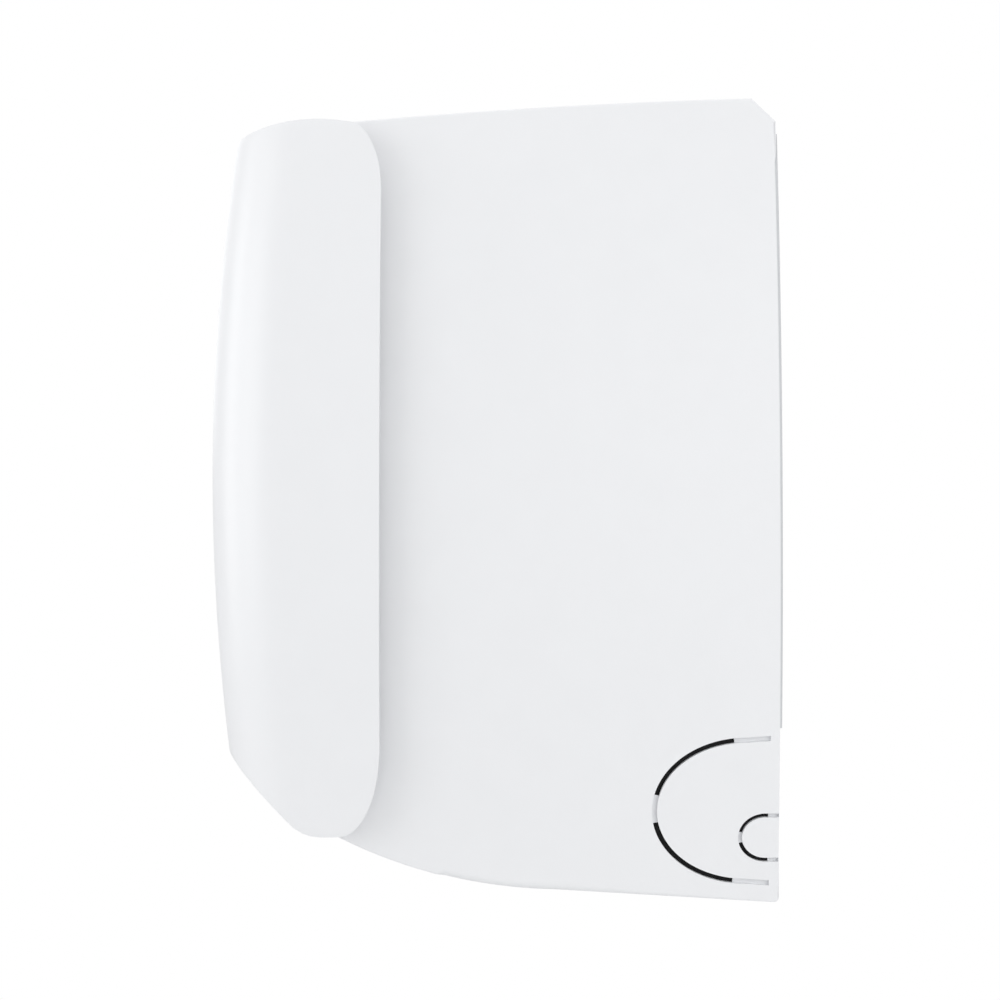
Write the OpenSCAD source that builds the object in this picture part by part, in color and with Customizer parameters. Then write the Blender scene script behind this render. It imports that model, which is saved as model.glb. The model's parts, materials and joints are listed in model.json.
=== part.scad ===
// Indoor unit of a wall-mounted split air conditioner.
// Facing the unit, X runs to the right, the front is -Y and the wall is the plane Y = 0.
// Heights in this file are measured up from the underside of the casing. place() lowers them
// so that the origin is the middle of the mounting plate's rear face.

/* [Cabinet] */
// Width over the front panel at its widest
unit_w = 900; // [820:5:1100]
// Height of the casing
unit_h = 305; // [300:1:330]
// Depth from the wall to the front of the panel
unit_d = 215; // [212:1:230]
// Wall thickness of the casing
wall = 2.5; // [2:0.1:3]
// Radius of the bulge of both ends, seen from the front
crown_r = 900; // [800:10:2000]
// Height at which the ends are widest
crown_z = 125; // [110:1:150]
// Gap between each wing of the panel and the end of the casing
wing_gap = 7; // [6.5:0.1:9]
// Size of the chamfer along the top rear edge
rear_chamfer = 9; // [6:0.5:10]

/* [Front panel] */
// Thickness of the panel
panel_t = 3; // [2.5:0.1:3.5]
// Radius of the bow of the front, seen from the side
bow_r = 1000; // [900:10:2500]
// Height of the foremost point of the front
bow_z = 168; // [150:1:190]
// Radius of the bend into each wing
bend_r = 28; // [20:1:34]
// How far each wing reaches back from the front
wing_d = 65; // [58:1:70]
// Height of the lower edge of the panel, at the front
panel_low_z = 58; // [56:0.5:60]
// Gap between the panel's top edge and the casing's top
panel_drop = 10.6; // [9:0.1:12]
// Radius of the hinge pins of the panel
panel_pin_r = 3; // [2.5:0.1:3.5]

/* [Pipe knock-outs] */
// Height of the large knock-out
knock_h = 54; // [50:1:56]
// Depth of the large knock-out from the casing's rear edge
knock_d = 46; // [40:1:47]
// Height of the small knock-out
core_h = 17; // [14:0.5:20]
// Depth of the small knock-out
core_d = 14.6; // [12:0.2:18]
// Width of the slots round the knock-outs
slot_w = 1.9; // [1.2:0.1:2.5]
// Thickness of the webs that are left in the slots
web_t = 0.8; // [0.5:0.1:1.2]

/* [Outlet] */
// Thickness of the flap's skin
flap_t = 3; // [2.4:0.1:3.4]
// Gap between each end of the flap and its mouth
flap_gap = 5; // [3:0.5:8]
// Radius of the flap's pivot pins
flap_pin_r = 3; // [2.5:0.1:3.5]
// Number of upright louvre blades in each of the two sets
set_blades = 5; // [5:1:5]
// Depth of a louvre blade into the duct
blade_h = 38; // [30:1:40]
// Distance from a blade's pivot to its link pin
link_arm = 20; // [16:1:22]
// Thickness of a louvre blade
blade_t = 1.8; // [1.4:0.1:2.2]

/* [Fan] */
// Radius of the cross-flow fan
fan_r = 50; // [44:0.5:51]
// Number of blades round the fan
fan_blades = 30; // [24:1:36]
// Number of discs along the fan
fan_discs = 8; // [5:1:10]
// Radius of the shaft
shaft_r = 4; // [3:0.1:5]
// Radius of the fan motor
motor_r = 43; // [38:0.5:44]
// Length of the fan motor
motor_l = 58; // [50:1:62]

/* [Heat exchanger] */
// Thickness of the fin packs
coil_t = 25; // [22:0.5:26]
// Distance between tubes in a row
tube_pitch = 21; // [19:0.5:22]
// Outer radius of the copper tubes
tube_r = 3.5; // [3:0.1:4]
// Distance between fins
fin_pitch = 10; // [8:0.5:20]
// Thickness of a fin
fin_t = 0.4; // [0.3:0.1:0.8]

/* [Piping] */
// Outer radius of the gas pipe
gas_r = 4.76; // [4:0.01:6.4]
// Outer radius of the liquid pipe
liquid_r = 3.18; // [3:0.01:4.5]
// Wall of both pipes
pipe_wall = 0.8; // [0.6:0.1:1]
// Thickness of the foam round the pipes
foam_t = 7; // [5:0.5:7.5]
// Outer radius of the drain hose
hose_r = 8.5; // [7.5:0.1:9]

/* [Mounting plate] */
// Width of the mounting plate
plate_w = 600; // [560:5:640]
// Height of the mounting plate
plate_h = 190; // [180:1:196]
// Thickness of the mounting plate
plate_t = 1.2; // [1:0.1:1.6]
// Distance between the screw columns
bolt_x = 500; // [440:5:520]
// Distance between the screw rows
bolt_z = 150; // [130:1:156]
// Radius of the screw holes
bolt_r = 2.5; // [2:0.1:3]

/* [Fits] */
// Gap between plastic parts that clip together
clip_gap = 0.4; // [0.3:0.05:0.8]
// Radial clearance of pins and shafts
run_gap = 0.08; // [0.05:0.01:0.1]

/* [Hidden] */
$fn = 48;
blade_names = [for (s = ["left", "right"]) for (i = [1:set_blades]) str("louvre_", s, "_", i)];

// ---- Plane geometry, as [depth, height] points ----

function unit(v) = v / norm(v);
function left_normal(a, b) = let (d = unit(b - a)) [-d[1], d[0]];
function mitre(p, n1, n2, t) = p + (n1 + n2) * t / (1 + n1 * n2);

// Arc through three points, as n chords
function arc3(a, b, c, n) =
    let (d = 2 * (a[0] * (b[1] - c[1]) + b[0] * (c[1] - a[1]) + c[0] * (a[1] - b[1])),
         o = [((a * a) * (b[1] - c[1]) + (b * b) * (c[1] - a[1]) + (c * c) * (a[1] - b[1])) / d,
              ((a * a) * (c[0] - b[0]) + (b * b) * (a[0] - c[0]) + (c * c) * (b[0] - a[0])) / d],
         r = norm(a - o),
         from = atan2(a[1] - o[1], a[0] - o[0]),
         to = atan2(c[1] - o[1], c[0] - o[0]),
         sweep = (to - from + 540) % 360 - 180)
    [for (i = [0:n]) o + r * [cos(from + sweep * i / n), sin(from + sweep * i / n)]];

// Closed outline, drawn anticlockwise, moved inwards by t
function inset(p, t) = let (n = len(p))
    [for (i = [0:n - 1]) mitre(p[i], left_normal(p[(i + n - 1) % n], p[i]),
                               left_normal(p[i], p[(i + 1) % n]), t)];

// Open path moved to its left by t
function shift(p, t) = let (n = len(p) - 1)
    [for (i = [0:n]) mitre(p[i], left_normal(p[max(i - 1, 0)], p[max(i, 1)]),
                           left_normal(p[min(i, n - 1)], p[min(i + 1, n)]), t)];
function strip(p, t) = concat(p, [for (q = [len(p) - 1:-1:0]) shift(p, t)[q]]);
function tail(p) = [for (i = [1:len(p) - 1]) p[i]];

// ---- Driving places ----

half_w = unit_w / 2;
wing_in = half_w - panel_t;
case_half = wing_in - wing_gap;
// Depth and height of this casing against those that the inner parts were laid out for
deep = unit_d / 215;
tall = unit_h / 305;
case_front = -unit_d + 12;
// Depth from which the front corners are cut off, clear of the panel's bends
corner_y = -unit_d + 26;
case_back = -0.6;
function bow(z) = -unit_d + bow_r - sqrt(bow_r * bow_r - (z - bow_z) * (z - bow_z));
function sag(z) = crown_r - sqrt(crown_r * crown_r - (z - crown_z) * (z - crown_z));

chin_top = [case_front, panel_low_z + 2];
knee = [-unit_d + 49, 24.8];
chin_mid = (chin_top + knee) / 2 + [-2.5, -2.7];
belly_end = knee + [81, -20.3];
belly_mid = knee + [36, -13.9];
top_rear = [case_back - rear_chamfer, unit_h - 0.3];
top_front = [-unit_d + 52, unit_h - 9.7];
top_mid = (top_rear + top_front) / 2 + [0, 1.3];
brow_end = [case_front, unit_h - 26];
brow_mid = (top_front + brow_end) / 2 + [-9, 0.1];
heel_r = 2;

chin = arc3(chin_top, chin_mid, knee, 8);
belly = arc3(knee, belly_mid, belly_end, 12);
function heel(r) = [for (a = [-90:30:0]) [case_back - r + r * cos(a), r + r * sin(a)]];
roof = arc3(top_rear, top_mid, top_front, 10);
brow = arc3(top_front, brow_mid, brow_end, 8);
function outline(r) = concat(chin, tail(belly), heel(r), [[case_back, unit_h - rear_chamfer - 0.5]], roof, tail(brow));
case_outline = outline(heel_r);
// The same outline further in, where the heel needs a wider radius to be moved inwards
function inner_outline(t) = inset(outline(t + 1), t);
function roof_z(y) = lookup(y, [for (i = [len(roof) - 1:-1:0]) roof[i]]);

// Fan and air duct
fan_c = [-108 * deep, 150 * tall];
duct_l = -case_half + 47;
duct_r = case_half - 136;
bulkhead_t = 3;
tongue = fan_c + [-40 * deep, -42];
duct_front = [case_front + 4, chin_top[1] + 8];
duct_dir = unit(duct_front - tongue);
duct_in = [-duct_dir[1], duct_dir[0]];
lip_y = -112 * deep;
lip = [lip_y, lookup(lip_y, belly) + wall + 2.2];
scroll_top = fan_c + [fan_r + 5.5, 0];
scroll_mid = fan_c + [fan_r - 5, -65 * tall];
scroll = arc3(scroll_top, scroll_mid, lip, 14);
back_y = -14;
back_t = 2.5;
channel_z = 66 * tall;
trough_z = fan_c[1] + 8;

// Flap, which lies flush with the chin
flap_mouth = case_half - 44;
flap_pivot = [lip_y - 16 * deep, 30];
flap_path = concat([for (i = [1:len(chin) - 1]) chin[i]],
    [for (p = tail(belly)) if (p[0] < lip[0] - 7) p]);
flap_arm_t = 3;

// Louvres stand square to the roof of the duct
pan_t = 3;
blade_pivot = tongue + duct_dir * 33;
blade_up = 28;
blade_down = 17;
blade_pin_r = 2.5;
link_pin_r = 1.5;
link_t = 2;
link_z = 10;
blade_x = [for (s = [0, 1]) [for (i = [0:set_blades - 1])
    duct_l + (duct_r - duct_l) * (s * set_blades + i + 0.5) / (2 * set_blades)]];
crank_x = [duct_l - 22, duct_r + bulkhead_t + 17];

// Heat exchanger, folded over the fan
row_gap = 12.5;
fold = 50;
fold_rear = 45;
low_y = fan_c[0] - 70 * deep;
coil_r = 75 * deep;
up_c = fan_c + coil_r * [-cos(fold), sin(fold)];
up_dir = [sin(fold), cos(fold)];
rear_c = fan_c + (coil_r - 1) * [cos(fold_rear), sin(fold_rear)];
rear_dir = [-sin(fold_rear), cos(fold_rear)];
bend_at = up_c[1] + up_dir[1] * (low_y - up_c[0]) / up_dir[0];
coil_low_z = tongue[1] + 6;
coil_l = duct_l + 31;
coil_r_end = duct_r - 34;

// Piping along the channel behind the fan housing
gas_z = 46;
liquid_z = 19.5;
hose_at = [-20 * deep, 17];
riser_x = case_half - 44;
pipe_end_x = -150;
elbow_r = 16;

// Mounting plate
plate_c = 175;
hook_x = 200;
hook_z = plate_c + 76;

// Control box
box_x = [duct_r + bulkhead_t, case_half - 24];
box_y = [case_front + 7, fan_c[0] - motor_r - 5];
box_z = [fan_c[1] - 22, unit_h - 52];
box_t = 2;

// ---- Solids ----

module place() { translate([0, 0, -plate_c]) children(); }

// Extrudes a [depth, height] outline from x0 to x1
module prism(x0, x1) { translate([x0, 0, 0]) rotate([90, 0, 90]) linear_extrude(x1 - x0) children(); }
module slab(x0, x1, p) { prism(x0, x1) polygon(p); }
module box(a, b) { translate(a) cube(b - a); }

// Round bar between two points
module rod(a, b, r) {
    d = b - a;
    translate(a) rotate([0, acos(d[2] / norm(d)), atan2(d[1], d[0])]) cylinder(r = r, h = norm(d));
}
module rod_x(x0, x1, c, r) { rod([x0, c[0], c[1]], [x1, c[0], c[1]], r); }

// Everything between the two bulging ends, half width h at the widest
module crown(h) {
    intersection() {
        crown_cylinder(h - crown_r);
        crown_cylinder(crown_r - h);
    }
}
module crown_cylinder(x) {
    translate([x, -unit_d - 50, crown_z]) rotate([-90, 0, 0])
        cylinder(r = crown_r, h = unit_d + 100, $fn = 180);
}

// The room inside the casing's ends, t in from their outside, with the front corners cut off at 45 degrees
module cabin(t) {
    h = case_half - t;
    y = corner_y + t * (sqrt(2) - 1);
    intersection() {
        cabin_cylinder(h - crown_r, y);
        cabin_cylinder(crown_r - h, y);
    }
}
module cabin_cylinder(x, y) {
    nose = 60;
    translate([x, y, crown_z]) rotate([-90, 0, 0]) {
        cylinder(r = crown_r, h = 50 - y, $fn = 180);
        translate([0, 0, -nose]) cylinder(r1 = crown_r - nose, r2 = crown_r, h = nose, $fn = 180);
    }
}

// Frame of the outlet: local x runs down the duct, z into it, y to the left
module in_duct(x) {
    multmatrix([[0, -1, 0, x],
                [duct_dir[0], 0, duct_in[0], blade_pivot[0]],
                [duct_dir[1], 0, duct_in[1], blade_pivot[1]],
                [0, 0, 0, 1]])
        children();
}

// ---- Cabinet ----

// D-shaped outline of a knock-out, straight towards the rear and half an ellipse in front
function dee(d, h, c, s, back) = let (flat = min(d * 0.35, 13), a = d - flat - s, b = h / 2 - s)
    concat([[back, c - b], [back, c + b]],
           [for (t = [90:15:270]) [case_back - flat + a * cos(t), c + b * sin(t)]]);
knock_c = 34.3;
core_c = 24;
slot_rear = -4;

module slot(d, h, c) {
    difference() {
        polygon(dee(d, h, c, 0, slot_rear));
        polygon(dee(d, h, c, slot_w, 5));
    }
}

module knock_out_slots(side) {
    start = case_half - wall - 3;
    mirror([side < 0 ? 1 : 0, 0, 0]) {
        intersection() {
            prism(start, case_half + 5) union() {
                slot(knock_d, knock_h, knock_c);
                slot(core_d, core_h, core_c);
            }
            union() {
                crown_shell(5);
                prism(start, case_half + 5) difference() {
                    translate([-60, 0]) square([60, 66]);
                    translate([-17, 40]) square([30, 40]);
                    translate([-17, 0]) square([30, 12]);
                    translate([-60, 29.5]) square([20, 10]);
                    translate([-20, 20.8]) square([8, 4.5]);
                }
            }
        }
    }
}

// The outer part of the end wall's thickness, down to the webs
module crown_shell(out) {
    difference() {
        box([case_half - 30, -60, 0], [case_half + out, 0, 70]);
        crown(case_half - wall + web_t);
    }
}

module front_casing() {
    color("#f2f3f5") difference() {
        intersection() {
            slab(-half_w, half_w, case_outline);
            cabin(0);
        }
        union() {
            intersection() {
                slab(-half_w, half_w, inner_outline(wall));
                cabin(wall);
            }
            intersection() {
                box([-half_w, -20, wall], [half_w, 5, unit_h - rear_chamfer - wall - 2]);
                crown(case_half - wall);
            }
            box([duct_l + 6, case_front - 2, filter_low_z],
                [duct_r - 6, case_front + 9, brow_end[1] - 8]);
            box([-grille_half, grille_y[0], unit_h - 25], [grille_half, grille_y[1], unit_h + 5]);
            slab(-flap_mouth, flap_mouth, [[-unit_d - 20, chin_top[1] + 0.5], [-unit_d - 20, -9],
                [lip[0] - 4, -9], [lip[0] - 4, 24], [-unit_d + 30, chin_top[1] + 0.5]]);
        }
        for (s = [-1, 1]) knock_out_slots(s);
        rod_x(-half_w, half_w, panel_pivot, panel_pin_r + run_gap);
        for (p = casing_screw_at)
            rod([p[0], case_front - 1, p[1]], [p[0], case_front + wall + 1, p[1]], 2.2);
        chin_hole(lens_x, lens_r + 0.05);
        chin_hole(button_x, button_r + 0.3);
    }
}

filter_low_z = 116 * tall;
grille_half = case_half - 40;
grille_y = [-unit_d + 65, -24];
casing_screw_at = [for (x = [-case_half + 35, case_half - 38]) for (z = [fan_c[1] - 29, unit_h - 43]) [x, z]];

module intake_grille() {
    flange = 4;
    slat_h = 8;
    slat_gap = 9;
    edge = [grille_y[0] + clip_gap, grille_y[1] - clip_gap];
    top = [for (q = roof) if (q[0] > grille_y[0] - 12 && q[0] < grille_y[1] + 12) q];
    color("#eceef0") {
        intersection() {
            union() {
                for (x = [-grille_half + clip_gap : (2 * grille_half - 2 * clip_gap - 3) / 8 : grille_half])
                    slab(x, x + 3, strip(top, slat_h));
                for (y = [edge[0] : slat_gap : edge[1] - 2])
                    slab(-grille_half + clip_gap, grille_half - clip_gap,
                        [[y, roof_z(y) - slat_h], [y + 1.8, roof_z(y + 1.8) - slat_h],
                         [y + 1.8, roof_z(y + 1.8) - 1], [y, roof_z(y) - 1]]);
                slab(-grille_half + clip_gap, grille_half - clip_gap,
                    [[edge[1] - 2.5, roof_z(edge[1]) - slat_h], [edge[1], roof_z(edge[1]) - slat_h],
                     [edge[1], roof_z(edge[1]) - 0.2], [edge[1] - 2.5, roof_z(edge[1]) - 0.2]]);
            }
            box([-grille_half + clip_gap, edge[0], unit_h - 40],
                [grille_half - clip_gap, edge[1], unit_h + 10]);
        }
        difference() {
            slab(-grille_half - flange, grille_half + flange, strip(shift(top, wall), 1.6));
            box([-grille_half + 3, edge[0] + 2, 0], [grille_half - 3, edge[1] - 2, 400]);
            box([-half_w, -400, 0], [half_w, grille_y[0] - flange, 400]);
            box([-half_w, grille_y[1] + flange, 0], [half_w, 0, 400]);
        }
    }
}

module casing_screws() {
    color("silver") for (p = casing_screw_at) {
        rod([p[0], case_front - 2, p[1]], [p[0], case_front, p[1]], 3.6);
        rod([p[0], case_front, p[1]], [p[0], case_front + 15, p[1]], 1.6);
    }
}

// Back wall, fan housing and bulkheads, moulded in one
module rear_chassis() {
    inner = inner_outline(wall + clip_gap);
    housing = concat([[back_y, trough_z], [scroll_top[0] + 2, trough_z]], scroll);
    blank = [duct_front, [flap_pivot[0] - 14, 60], [flap_pivot[0] + 16, 54], [lip[0] + 13, 38], [lip[0] + 8, 12]];
    chamber = [[scroll_mid[0] + 1, channel_z + 1], [back_y + 1, channel_z + 1], [back_y + 1, unit_h - 16],
        [case_front + 20, unit_h - 16], [case_front + 5, unit_h - 40]];
    color("#d9dbdd") difference() {
        union() {
            intersection() {
                box([-half_w, back_y, channel_z], [half_w, back_y + back_t, unit_h - 14]);
                crown(case_half - wall - clip_gap);
            }
            difference() {
                intersection() {
                    box([-half_w, back_y, channel_z], [half_w, 0, unit_h - 14]);
                    crown(case_half - wall - clip_gap);
                }
                crown(case_half - wall - clip_gap - 2.5);
            }
            slab(duct_l - 1, duct_r + 1, strip(housing, back_t));
            slab(duct_l - 1, riser_x - 20, [[scroll_mid[0] - 7, channel_z],
                [back_y + 1, channel_z], [back_y + 1, channel_z + back_t],
                [scroll_mid[0] - 7, channel_z + back_t]]);
            slab(duct_r, flap_mouth, strip(blank, -back_t));
            intersection() {
                slab(duct_l - bulkhead_t, duct_l, inner);
                slab(duct_l - bulkhead_t, duct_l, concat([[case_front + 5, chin_top[1] + 2], lip + [1, 0.3]], chamber));
            }
            intersection() {
                slab(duct_r, duct_r + bulkhead_t, inner);
                slab(duct_r, duct_r + bulkhead_t, concat([[case_front + 5, duct_front[1] + 1], blank[1] + [0, 0.5],
                    blank[2] + [-0.5, 0.4], blank[3] + [0.5, 0], blank[4] + [0.3, 0.2]], chamber));
            }
            slab(flap_mouth - 3, flap_mouth, concat([for (p = inner)
                if (p[0] < lip[0] + 9 && p[1] < chin_top[1]) p],
                [[lip[0] + 9, 38], [flap_pivot[0] + 16, 54], [flap_pivot[0] - 14, 62], duct_front]));
            for (p = casing_screw_at) screw_boss(p);
            motor_cradle();
        }
        rod_x(duct_l - 10, duct_l + 10, fan_c, seat_r);
        rod_x(duct_r - 10, duct_r + 10, fan_c, 22);
        for (x = [-hook_x, hook_x])
            box([x - 16, back_y - 3, hook_z - 12], [x + 16, back_y + 6, hook_z + plate_t]);
        for (x = [-flap_mouth - 1, flap_mouth - 4])
            rod_x(x, x + 6, flap_pivot, flap_pin_r + run_gap);
        rod_x(duct_l - 5, duct_l + 3, flap_pivot, flap_pin_r + run_gap);
        for (x = [duct_l + 3, duct_r + 8])
            in_duct(x) box([-link_arm - 5, 0, link_z - 1], [-link_arm + 9, 12, link_z + link_t + 1]);
        for (p = [gas_joint, liquid_joint]) rod_x(duct_r - 5, duct_r + 8, p, gas_r + 2);
        rod_x(duct_r - 5, duct_r + 8, spigot_at, spigot_r + clip_gap);
        rod_x(duct_l - 8, duct_l + 5, spigot_at, spigot_r + clip_gap);
    }
}

// Boss for a casing screw, with a web to the nearer bulkhead
module screw_boss(p) {
    wall_x = p[0] < 0 ? duct_l - 1 : duct_r + 1;
    difference() {
        union() {
            rod([p[0], case_front + wall + clip_gap, p[1]], [p[0], case_front + 22, p[1]], 4);
            box([min(p[0], wall_x), case_front + 17, p[1] - 1.5],
                [max(p[0], wall_x), case_front + 22, p[1] + 1.5]);
        }
        rod([p[0], case_front, p[1]], [p[0], case_front + 15, p[1]], 1.6);
    }
}

seat_r = 17;
damper_r = 30;

module motor_cradle() {
    ends = [[duct_r + bulkhead_t, duct_r + bulkhead_t + 5], [motor_x[1] + 1, motor_x[1] + 6]];
    for (e = ends)
        difference() {
            slab(e[0], e[1], [[fan_c[0] - 38, fan_c[1] - 46], [fan_c[0] + 38, fan_c[1] - 46],
                [back_y + 1, fan_c[1] - 30], [back_y + 1, fan_c[1]], [fan_c[0] - 38, fan_c[1]]]);
            rod_x(e[0] - 1, e[1] + 1, fan_c, damper_r);
        }
}

// ---- Front panel: a bowed sheet bent round both ends ----

panel_pivot = [-unit_d + 33, unit_h - 22];
wing_rear = -unit_d + wing_d;
top_peak = unit_h - panel_drop;
rear_top = [13, 26];
rear_low = [15.5, 33];
wing_low = 26.8;
foot_y = -unit_d + 43;
foot_r = 15.7;

// Upper and lower edge of the sheet, seen from the side, at depth y
function top_edge(y) = let (c = wing_rear - rear_top[0], crest = top_peak - 0.9)
    y > c ? crest - rear_top[1] * (1 - sqrt(max(0, 1 - pow((y - c) / rear_top[0], 2))))
          : top_peak - pow((y - c + 17) / 17, 2) * 0.9;
function low_edge(y) = let (c = wing_rear - rear_low[0])
    y > c ? wing_low + rear_low[1] * (1 - sqrt(max(0, 1 - pow((y - c) / rear_low[0], 2))))
          : y > foot_y ? wing_low
          : y > foot_y - foot_r * sin(45) ? wing_low + foot_r - sqrt(foot_r * foot_r - pow(foot_y - y, 2))
          : wing_low + foot_r * (1 - cos(45)) + foot_y - foot_r * sin(45) - y;

// Share of the way back from the front to the wing's rear edge, and the bend angle there
bend_steps = 8;
corner_steps = 6;
columns = concat(
    [for (i = [0:bend_steps]) let (a = 90 * i / bend_steps) [bend_r * (1 - cos(a)) / wing_d, a]],
    [[(bend_r + (wing_d - rear_low[0] - bend_r) * 0.5) / wing_d, 90]],
    [for (i = [0:corner_steps]) let (a = 90 * i / corner_steps)
        [(wing_d - rear_low[0] * (1 - sin(a))) / wing_d, 90]]);
right_half = [for (c = columns) [c[0], c[1], 1]];
left_half = [for (i = [len(columns) - 1:-1:0]) [columns[i][0], columns[i][1], -1]];
sheet_columns = concat(left_half, right_half);
levels = 30;

function depth_at(c, z) = bow(z) + c[0] * (wing_rear - bow(z));
function low_of(c) = let (z0 = low_edge(depth_at(c, 45)), z1 = low_edge(depth_at(c, z0)))
    c[0] == 0 ? panel_low_z : max(min(panel_low_z + 1, low_edge(depth_at(c, z1))), wing_low);
function high_of(c) = top_edge(depth_at(c, top_peak - 2));
function sheet_point(c, z, t) =
    [c[2] * (half_w - bend_r * (1 - sin(c[1])) - sag(z) - t * sin(c[1])),
     depth_at(c, z) + t * cos(c[1]), z];

module panel_sheet() {
    n = len(sheet_columns);
    m = levels + 1;
    grid = [for (t = [0, panel_t]) for (c = sheet_columns) for (i = [0:levels])
        sheet_point(c, low_of(c) + (high_of(c) - low_of(c)) * i / levels, t)];
    function at(s, j, i) = s * n * m + j * m + i;
    faces = concat(
        [for (j = [0:n - 2]) for (i = [0:levels - 1]) [at(0, j, i), at(0, j, i + 1), at(0, j + 1, i + 1)]],
        [for (j = [0:n - 2]) for (i = [0:levels - 1]) [at(0, j, i), at(0, j + 1, i + 1), at(0, j + 1, i)]],
        [for (j = [0:n - 2]) for (i = [0:levels - 1]) [at(1, j, i), at(1, j + 1, i + 1), at(1, j, i + 1)]],
        [for (j = [0:n - 2]) for (i = [0:levels - 1]) [at(1, j, i), at(1, j + 1, i), at(1, j + 1, i + 1)]],
        [for (j = [0:n - 2]) [at(0, j, 0), at(0, j + 1, 0), at(1, j + 1, 0)]],
        [for (j = [0:n - 2]) [at(0, j, 0), at(1, j + 1, 0), at(1, j, 0)]],
        [for (j = [0:n - 2]) [at(0, j, levels), at(1, j + 1, levels), at(0, j + 1, levels)]],
        [for (j = [0:n - 2]) [at(0, j, levels), at(1, j, levels), at(1, j + 1, levels)]],
        [for (i = [0:levels - 1]) [at(0, 0, i), at(1, 0, i + 1), at(0, 0, i + 1)]],
        [for (i = [0:levels - 1]) [at(0, 0, i), at(1, 0, i), at(1, 0, i + 1)]],
        [for (i = [0:levels - 1]) [at(0, n - 1, i), at(0, n - 1, i + 1), at(1, n - 1, i + 1)]],
        [for (i = [0:levels - 1]) [at(0, n - 1, i), at(1, n - 1, i + 1), at(1, n - 1, i)]]);
    polyhedron(points = grid, faces = faces);
}

module front_panel() {
    color("#f0f1f3") panel_sheet();
}

// Pins on the inside of the wings, which turn in the casing's ends
module panel_hinge_pins() {
    wing_x = wing_in - sag(panel_pivot[1]);
    color("#e4e6e8") for (s = [-1, 1]) mirror([s < 0 ? 1 : 0, 0, 0]) {
        rod_x(wing_x - wing_gap - wall - 4, wing_x - 2, panel_pivot, panel_pin_r);
        rod_x(wing_x - 3, wing_x + 0.4, panel_pivot, panel_pin_r + 2.5);
    }
}

module panel_bumpers() {
    z = chin_top[1] + 16;
    r = 5;
    color("#b8babd") for (x = [-case_half * 0.68, 0, case_half * 0.68])
        rod([x, bow(z - r) + panel_t + clip_gap / 2, z], [x, case_front, z], r);
}

// ---- Display, button ----

lens_x = case_half - 34;
lens_r = 6;
button_x = case_half - 19.5;
button_r = 4;
chin_at = chin[3];
chin_out = -left_normal(chin[2], chin[4]);

// Frame on the chin: local z points out of the casing
module on_chin(x) {
    multmatrix([[1, 0, 0, x],
                [0, -chin_out[1], chin_out[0], chin_at[0]],
                [0, chin_out[0], chin_out[1], chin_at[1]],
                [0, 0, 0, 1]])
        children();
}
module chin_hole(x, r) { on_chin(x) translate([0, 0, -8]) cylinder(r = r, h = 16); }

module display_lens() {
    color("#3a3f45") on_chin(lens_x) {
        translate([0, 0, -wall - 1.5]) cylinder(r = lens_r, h = wall + 1.2);
        translate([0, 0, -wall - 2.7]) cylinder(r = lens_r - 2.5, h = 1.2);
    }
}
module display_board() {
    color("#2f6b45") on_chin((lens_x + button_x) / 2)
        box([-15.5, -9, -wall - 8], [11, 9, -wall - 6.4]);
    color("#222428") on_chin(lens_x) box([-3.5, -3.5, -wall - 6.8], [3.5, 3.5, -wall - 2.7]);
    color("#222428") on_chin(button_x) box([-3, -3, -wall - 6.8], [3, 3, -wall - 4]);
}
module on_off_button() {
    color("#e4e6e8") on_chin(button_x) {
        translate([0, 0, -wall - 1.4]) cylinder(r = button_r, h = wall + 1.4);
        translate([0, 0, -wall - 2.8]) cylinder(r = button_r + 1.2, h = 1.4);
    }
}

// ---- Flap ----

module air_flap() {
    half = flap_mouth - flap_gap;
    arm = [flap_pivot + [-6, -1], flap_pivot + [-3, 5], flap_pivot + [3, 5], flap_pivot + [6, -1]];
    foot = shift(flap_path, flap_t / 2);
    seat = [for (p = foot) if (p[0] > flap_pivot[0] - 26 && p[0] < flap_pivot[0] + 6) p];
    color("#eef0f2") {
        slab(-half, half, strip(flap_path, flap_t));
        for (x = [-half, half - flap_arm_t])
            slab(x, x + flap_arm_t, concat(seat, [for (i = [3:-1:0]) arm[i]]));
        for (s = [-1, 1]) mirror([s < 0 ? 1 : 0, 0, 0])
            rod_x(half - 1, flap_mouth + (s < 0 ? 1 : 7), flap_pivot, flap_pin_r);
    }
}

module flap_motor() {
    c = flap_pivot + [0, 8];
    color("silver") difference() {
        rod_x(flap_mouth, flap_mouth + 20, c, 14);
        rod_x(flap_mouth - 1, flap_mouth + 9, flap_pivot, flap_pin_r + 1);
    }
    color("#3c6ea5") box([flap_mouth + 3, c[0] + 13.9, c[1] - 6], [flap_mouth + 18, c[0] + 17, c[1] + 6]);
}

// ---- Louvres ----

module louvre(x) {
    color("#dfe1e3") in_duct(x) {
        translate([0, blade_t / 2, 0]) rotate([90, 0, 0]) linear_extrude(blade_t)
            polygon([[-blade_up + 6, 1], [blade_down, 1], [blade_down, blade_h - 16],
                [blade_down - 10, blade_h - 6], [-link_arm + 8, blade_h - 1], [-blade_up + 2, blade_h - 1],
                [-blade_up, blade_h - 8], [-blade_up, link_z + link_t + 4],
                [-link_arm + 8, link_z + link_t + 4], [-link_arm + 8, link_z - 0.7],
                [-link_arm - 3, link_z - 0.7], [-link_arm - 3, link_z - 3]]);
        translate([0, 0, -pan_t + 0.5]) cylinder(r = blade_pin_r, h = pan_t + 4);
        translate([-link_arm, 0, link_z - 2.5]) cylinder(r = link_pin_r, h = link_t + 4);
    }
}

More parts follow.
